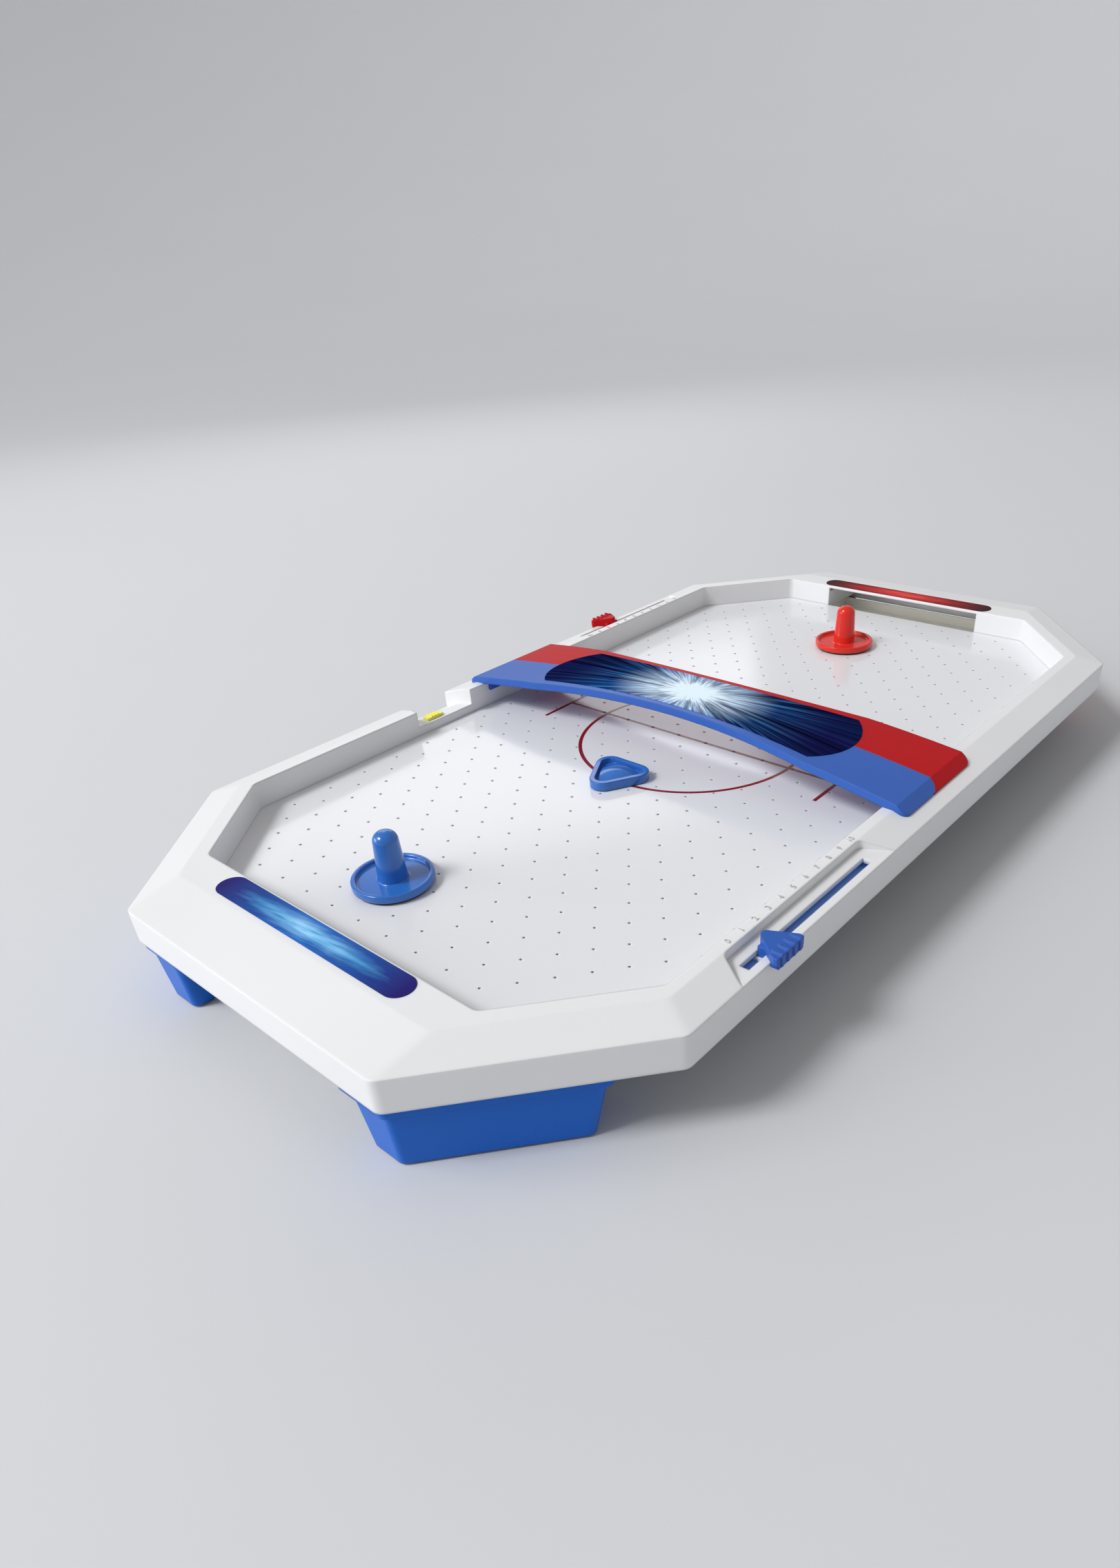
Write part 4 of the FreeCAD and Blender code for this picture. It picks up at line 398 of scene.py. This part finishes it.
def wire_cover(name, colour):
    """Thin insulated wire."""
    finish = Finish(name)
    where, _ = finish.place()
    mark = finish.noise(where, 260.0, 3.0)
    finish.set(Base_Color=finish.mix(mark, shade(colour, 0.8), shade(colour, 1.1)),
               Roughness=0.42 + mark * 0.1)
    finish.set(Normal=finish.bump(mark, 0.08, GRAIN_HEIGHT))
    return finish


def dress(finish, *names):
    """Give CAD nodes or pieces a finish."""
    for name in names:
        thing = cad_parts[name] if isinstance(name, str) else name
        thing.data.materials.clear()
        thing.data.materials.append(finish.material)


def dress_works():
    """Finishes of the tray, the fan, the battery box and what fastens and feeds them."""
    dress(moulded("tray_white", DULL_WHITE, 0.46, 0.2, 0.8 * MM), "air_tray")
    black = moulded("inner_black", BLACK, 0.48, 0.35, 0.5 * MM)
    dress(black, "fan_duct", "intake_grille", "impeller", "battery_box", "battery_door", "switch_body")
    steel = plated_steel("zinc_steel", (0.60, 0.60, 0.60), 0.24)
    dress(steel, "tray_screws", "flange_screws", "motor_screws", "battery_door_screw", "leg_screws",
          "bridge_screws", "motor_shaft")
    dress(plated_steel("motor_can", (0.50, 0.50, 0.49), 0.30), "motor")
    dress(plated_steel("nickel_strip", (0.66, 0.62, 0.54), 0.20), "battery_contacts", "battery_springs")
    dress(cell_jacket(), "battery_cell_left", "battery_cell_right")
    dress(wire_cover("wire_red", (0.40, 0.015, 0.015)), "wire_battery_switch", "wire_switch_motor")
    dress(wire_cover("wire_black", (0.02, 0.02, 0.02)), "wire_motor_battery")


def dress_teams():
    """Finishes of the pieces in the two players' colours."""
    satin = {"blue": moulded("satin_blue", BLUE, 0.30, 0.08, 1.0 * MM, shine=0.22),
             "red": moulded("satin_red", RED, 0.30, 0.08, 1.0 * MM, shine=0.05)}
    legs = {"blue": moulded("leg_blue", LEG_BLUE, 0.34, 0.10, 1.4 * MM, shine=0.22),
            "red": moulded("leg_red", RED, 0.34, 0.10, 1.4 * MM, shine=0.18)}
    gloss = {"blue": moulded("gloss_blue", GLOSS_BLUE, 0.17, 0.03, 0.5 * MM, coat=0.3, shine=0.4),
             "red": moulded("gloss_red", GLOSS_RED, 0.17, 0.03, 0.5 * MM, coat=0.2, shine=0.2)}
    # Painted light: the score tracks' colours are lightened to stand in for light the slot shuts out.
    painted_light_tracks = {"blue": moulded("track_blue_painted_light", TRACK_BLUE_PAINTED_LIGHT, 0.4, 0.1),
              "red": moulded("track_red_painted_light", TRACK_RED_PAINTED_LIGHT, 0.4, 0.1)}
    for team in TEAMS:
        dress(satin[team], "bridge_" + team, "score_slider_" + team)
        dress(painted_light_tracks[team], "score_track_" + team)
        dress(gloss[team], "mallet_" + team)
        dress(goal_print(team), "goal_label_" + team)
        dress(legs[team], "leg_" + team + "_left", "leg_" + team + "_right")
    dress(gloss["blue"], "puck_blue")


def dress_all(white):
    """The finish of every CAD node."""
    dress(white, "table_casing")
    dress(field_sheet(), "playing_surface")
    dress(moulded("clip_white", WHITE, 0.40, 0.1, 0.3 * MM), "slider_clip_blue", "slider_clip_red")
    dress(moulded("button_yellow", YELLOW, 0.32, 0.1, 0.4 * MM), "switch_button")
    # The goal trays' cream carries painted light: it is lighter than the plastic to brighten the shaded
    # pocket.
    dress(moulded("tray_cream_painted_light", CREAM_WITH_PAINTED_LIGHT, 0.42, 0.1, 0.4 * MM), "goal_tray_blue", "goal_tray_red")
    dress(bridge_print(), "bridge_label")
    dress(felt_cloth(), "felt_blue", "felt_red")
    dress(rubber_pad(), "foot_blue_left", "foot_blue_right", "foot_red_left", "foot_red_right")
    dress_works()
    dress_teams()


# ---------------------------------------------------------------- new pieces

def settle(thing, name, body):
    """Put a finished piece at the origin with its place in its mesh, named and riding."""
    thing.data.transform(thing.matrix_world)
    thing.matrix_world = Matrix.Identity(4)
    thing.name = name
    thing.data.name = name
    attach(thing, body)
    return thing


def clear_selection():
    """Object mode with nothing selected."""
    if bpy.context.object and bpy.context.object.mode != "OBJECT":
        bpy.ops.object.mode_set(mode="OBJECT")
    bpy.ops.object.select_all(action="DESELECT")


def raised_numbers(team):
    """Score scale 0 to 10 raised on the rim beside the score recess."""
    side = -1 if team == "blue" else 1
    rim_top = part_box("table_casing")[1][2]
    highest = 10
    first, last, across = 70 * MM, 166 * MM, 142.2 * MM
    size, half_height, edge, lift = 4.2 * MM, 0.14 * MM, 0.05 * MM, 0.08 * MM
    made = []
    for value in range(highest + 1):
        clear_selection()
        bpy.ops.object.text_add(location=(0, 0, 0))
        text = bpy.context.object
        text.data.body = str(value)
        text.data.size = size
        text.data.align_x = "CENTER"
        text.data.align_y = "CENTER"
        text.data.extrude = half_height
        text.data.bevel_depth = edge
        text.data.bevel_resolution = 1
        text.data.resolution_u = 3
        along = last - (last - first) * value / highest
        text.location = (along * side, across * side, rim_top + lift)
        text.rotation_euler = (0, 0, 0 if side < 0 else math.pi)
        bpy.ops.object.convert(target="MESH")
        made.append(bpy.context.object)
    clear_selection()
    for thing in made:
        thing.select_set(True)
    bpy.context.view_layer.objects.active = made[0]
    bpy.ops.object.join()
    joined = bpy.context.object
    bpy.ops.object.transform_apply(location=True, rotation=True, scale=True)
    return settle(joined, "score_numbers_" + team, "base")


# ---------------------------------------------------------------- stage

def backdrop():
    """Pale floor that curves up far away on every side."""
    clear_selection()
    flat, curve, steps, corners = 2.6, 5.6, 14, 128
    bpy.ops.mesh.primitive_circle_add(vertices=corners, radius=flat, fill_type="NGON",
                                      location=(0, 0, 0))
    floor = bpy.context.object
    floor.name = "studio_floor"
    bpy.ops.object.mode_set(mode="EDIT")
    bpy.ops.mesh.select_all(action="SELECT")
    bpy.ops.mesh.region_to_loop()
    reach, height = flat, 0.0
    for step in range(1, steps + 1):
        angle = math.pi / 2 * step / steps
        grown, raised = flat + curve * math.sin(angle), curve * (1 - math.cos(angle))
        bpy.ops.mesh.extrude_edges_move()
        bpy.ops.transform.translate(value=(0, 0, raised - height))
        bpy.ops.transform.resize(value=(grown / reach, grown / reach, 1), center_override=(0, 0, 0))
        reach, height = grown, raised
    bpy.ops.mesh.select_all(action="SELECT")
    bpy.ops.mesh.normals_make_consistent(inside=True)
    bpy.ops.object.mode_set(mode="OBJECT")
    bpy.ops.object.shade_smooth()
    finish = Finish("studio_floor")
    where, _ = finish.place()
    cloud = finish.noise(where, 2.0)
    finish.set(Base_Color=finish.mix(cloud, (0.62, 0.63, 0.65), (0.64, 0.65, 0.67)), Roughness=0.7)
    dress(finish, floor)
    floor.visible_shadow = False


def hang(data, place, heading):
    """Put a lamp or camera in the scene, looking along a heading."""
    thing = bpy.data.objects.new(data.name, data)
    bpy.context.scene.collection.objects.link(thing)
    turn = Vector(heading).to_track_quat("-Z", "Y").to_matrix().to_4x4()
    thing.matrix_world = Matrix.Translation(place) @ turn
    return thing


def soft_light(name, place, width, height, power):
    """Broad lamp that faces the middle of the table."""
    lamp = bpy.data.lights.new(name, "AREA")
    lamp.shape = "RECTANGLE"
    lamp.size = width
    lamp.size_y = height
    lamp.energy = power
    lamp.color = COOL_LIGHT
    table_middle = Vector((0.0, 0.0, 0.04))
    hang(lamp, place, table_middle - Vector(place))


def far_light(name, heading, power, spread):
    """Even light along a heading, with soft shadows."""
    lamp = bpy.data.lights.new(name, "SUN")
    lamp.energy = power
    lamp.angle = math.radians(spread)
    lamp.color = COOL_LIGHT
    hang(lamp, (0, 0, 0), heading)


def light_stage():
    """Pale room, one far light and three soft ones."""
    bpy.context.scene.view_settings.view_transform = "Standard"
    world = bpy.data.worlds.new("pale_room")
    bpy.context.scene.world = world
    world.use_nodes = True
    sky = world.node_tree.nodes["Background"]
    sky.inputs["Color"].default_value = WARM_SKY
    sky.inputs["Strength"].default_value = 0.37
    far_light("high_left", (0.8, -0.42, -1.0), 1.68, 16)
    soft_light("low_left", (-1.55, 1.55, 0.5), 1.2, 0.6, 12)
    soft_light("window", (-1.3, 0.7, 1.25), 1.2, 0.8, 9)
    soft_light("back_strip", (0.9, 1.3, 0.8), 1.4, 0.4, 3)


def camera():
    """View from the blue end's near corner."""
    eye = Vector((-0.42245, -0.32031, 0.28894))
    aim = Vector((-0.14344, -0.06882, 0.04))
    roll = math.radians(-3.303)
    data = bpy.data.cameras.new("view")
    data.sensor_fit = "HORIZONTAL"
    data.sensor_width = 36.0
    data.lens = 31.625
    data.shift_x = -0.05745
    data.shift_y = 0.09181
    data.clip_start = 0.01
    thing = hang(data, eye, aim - eye)
    thing.matrix_world = thing.matrix_world @ Matrix.Rotation(roll, 4, "Z")
    bpy.context.scene.camera = thing


camera()
casing_white = moulded("casing_white", WHITE, 0.36, 0.10, 1.6 * MM)
dress_all(casing_white)
for team_name in TEAMS:
    dress(casing_white, raised_numbers(team_name))
backdrop()
light_stage()
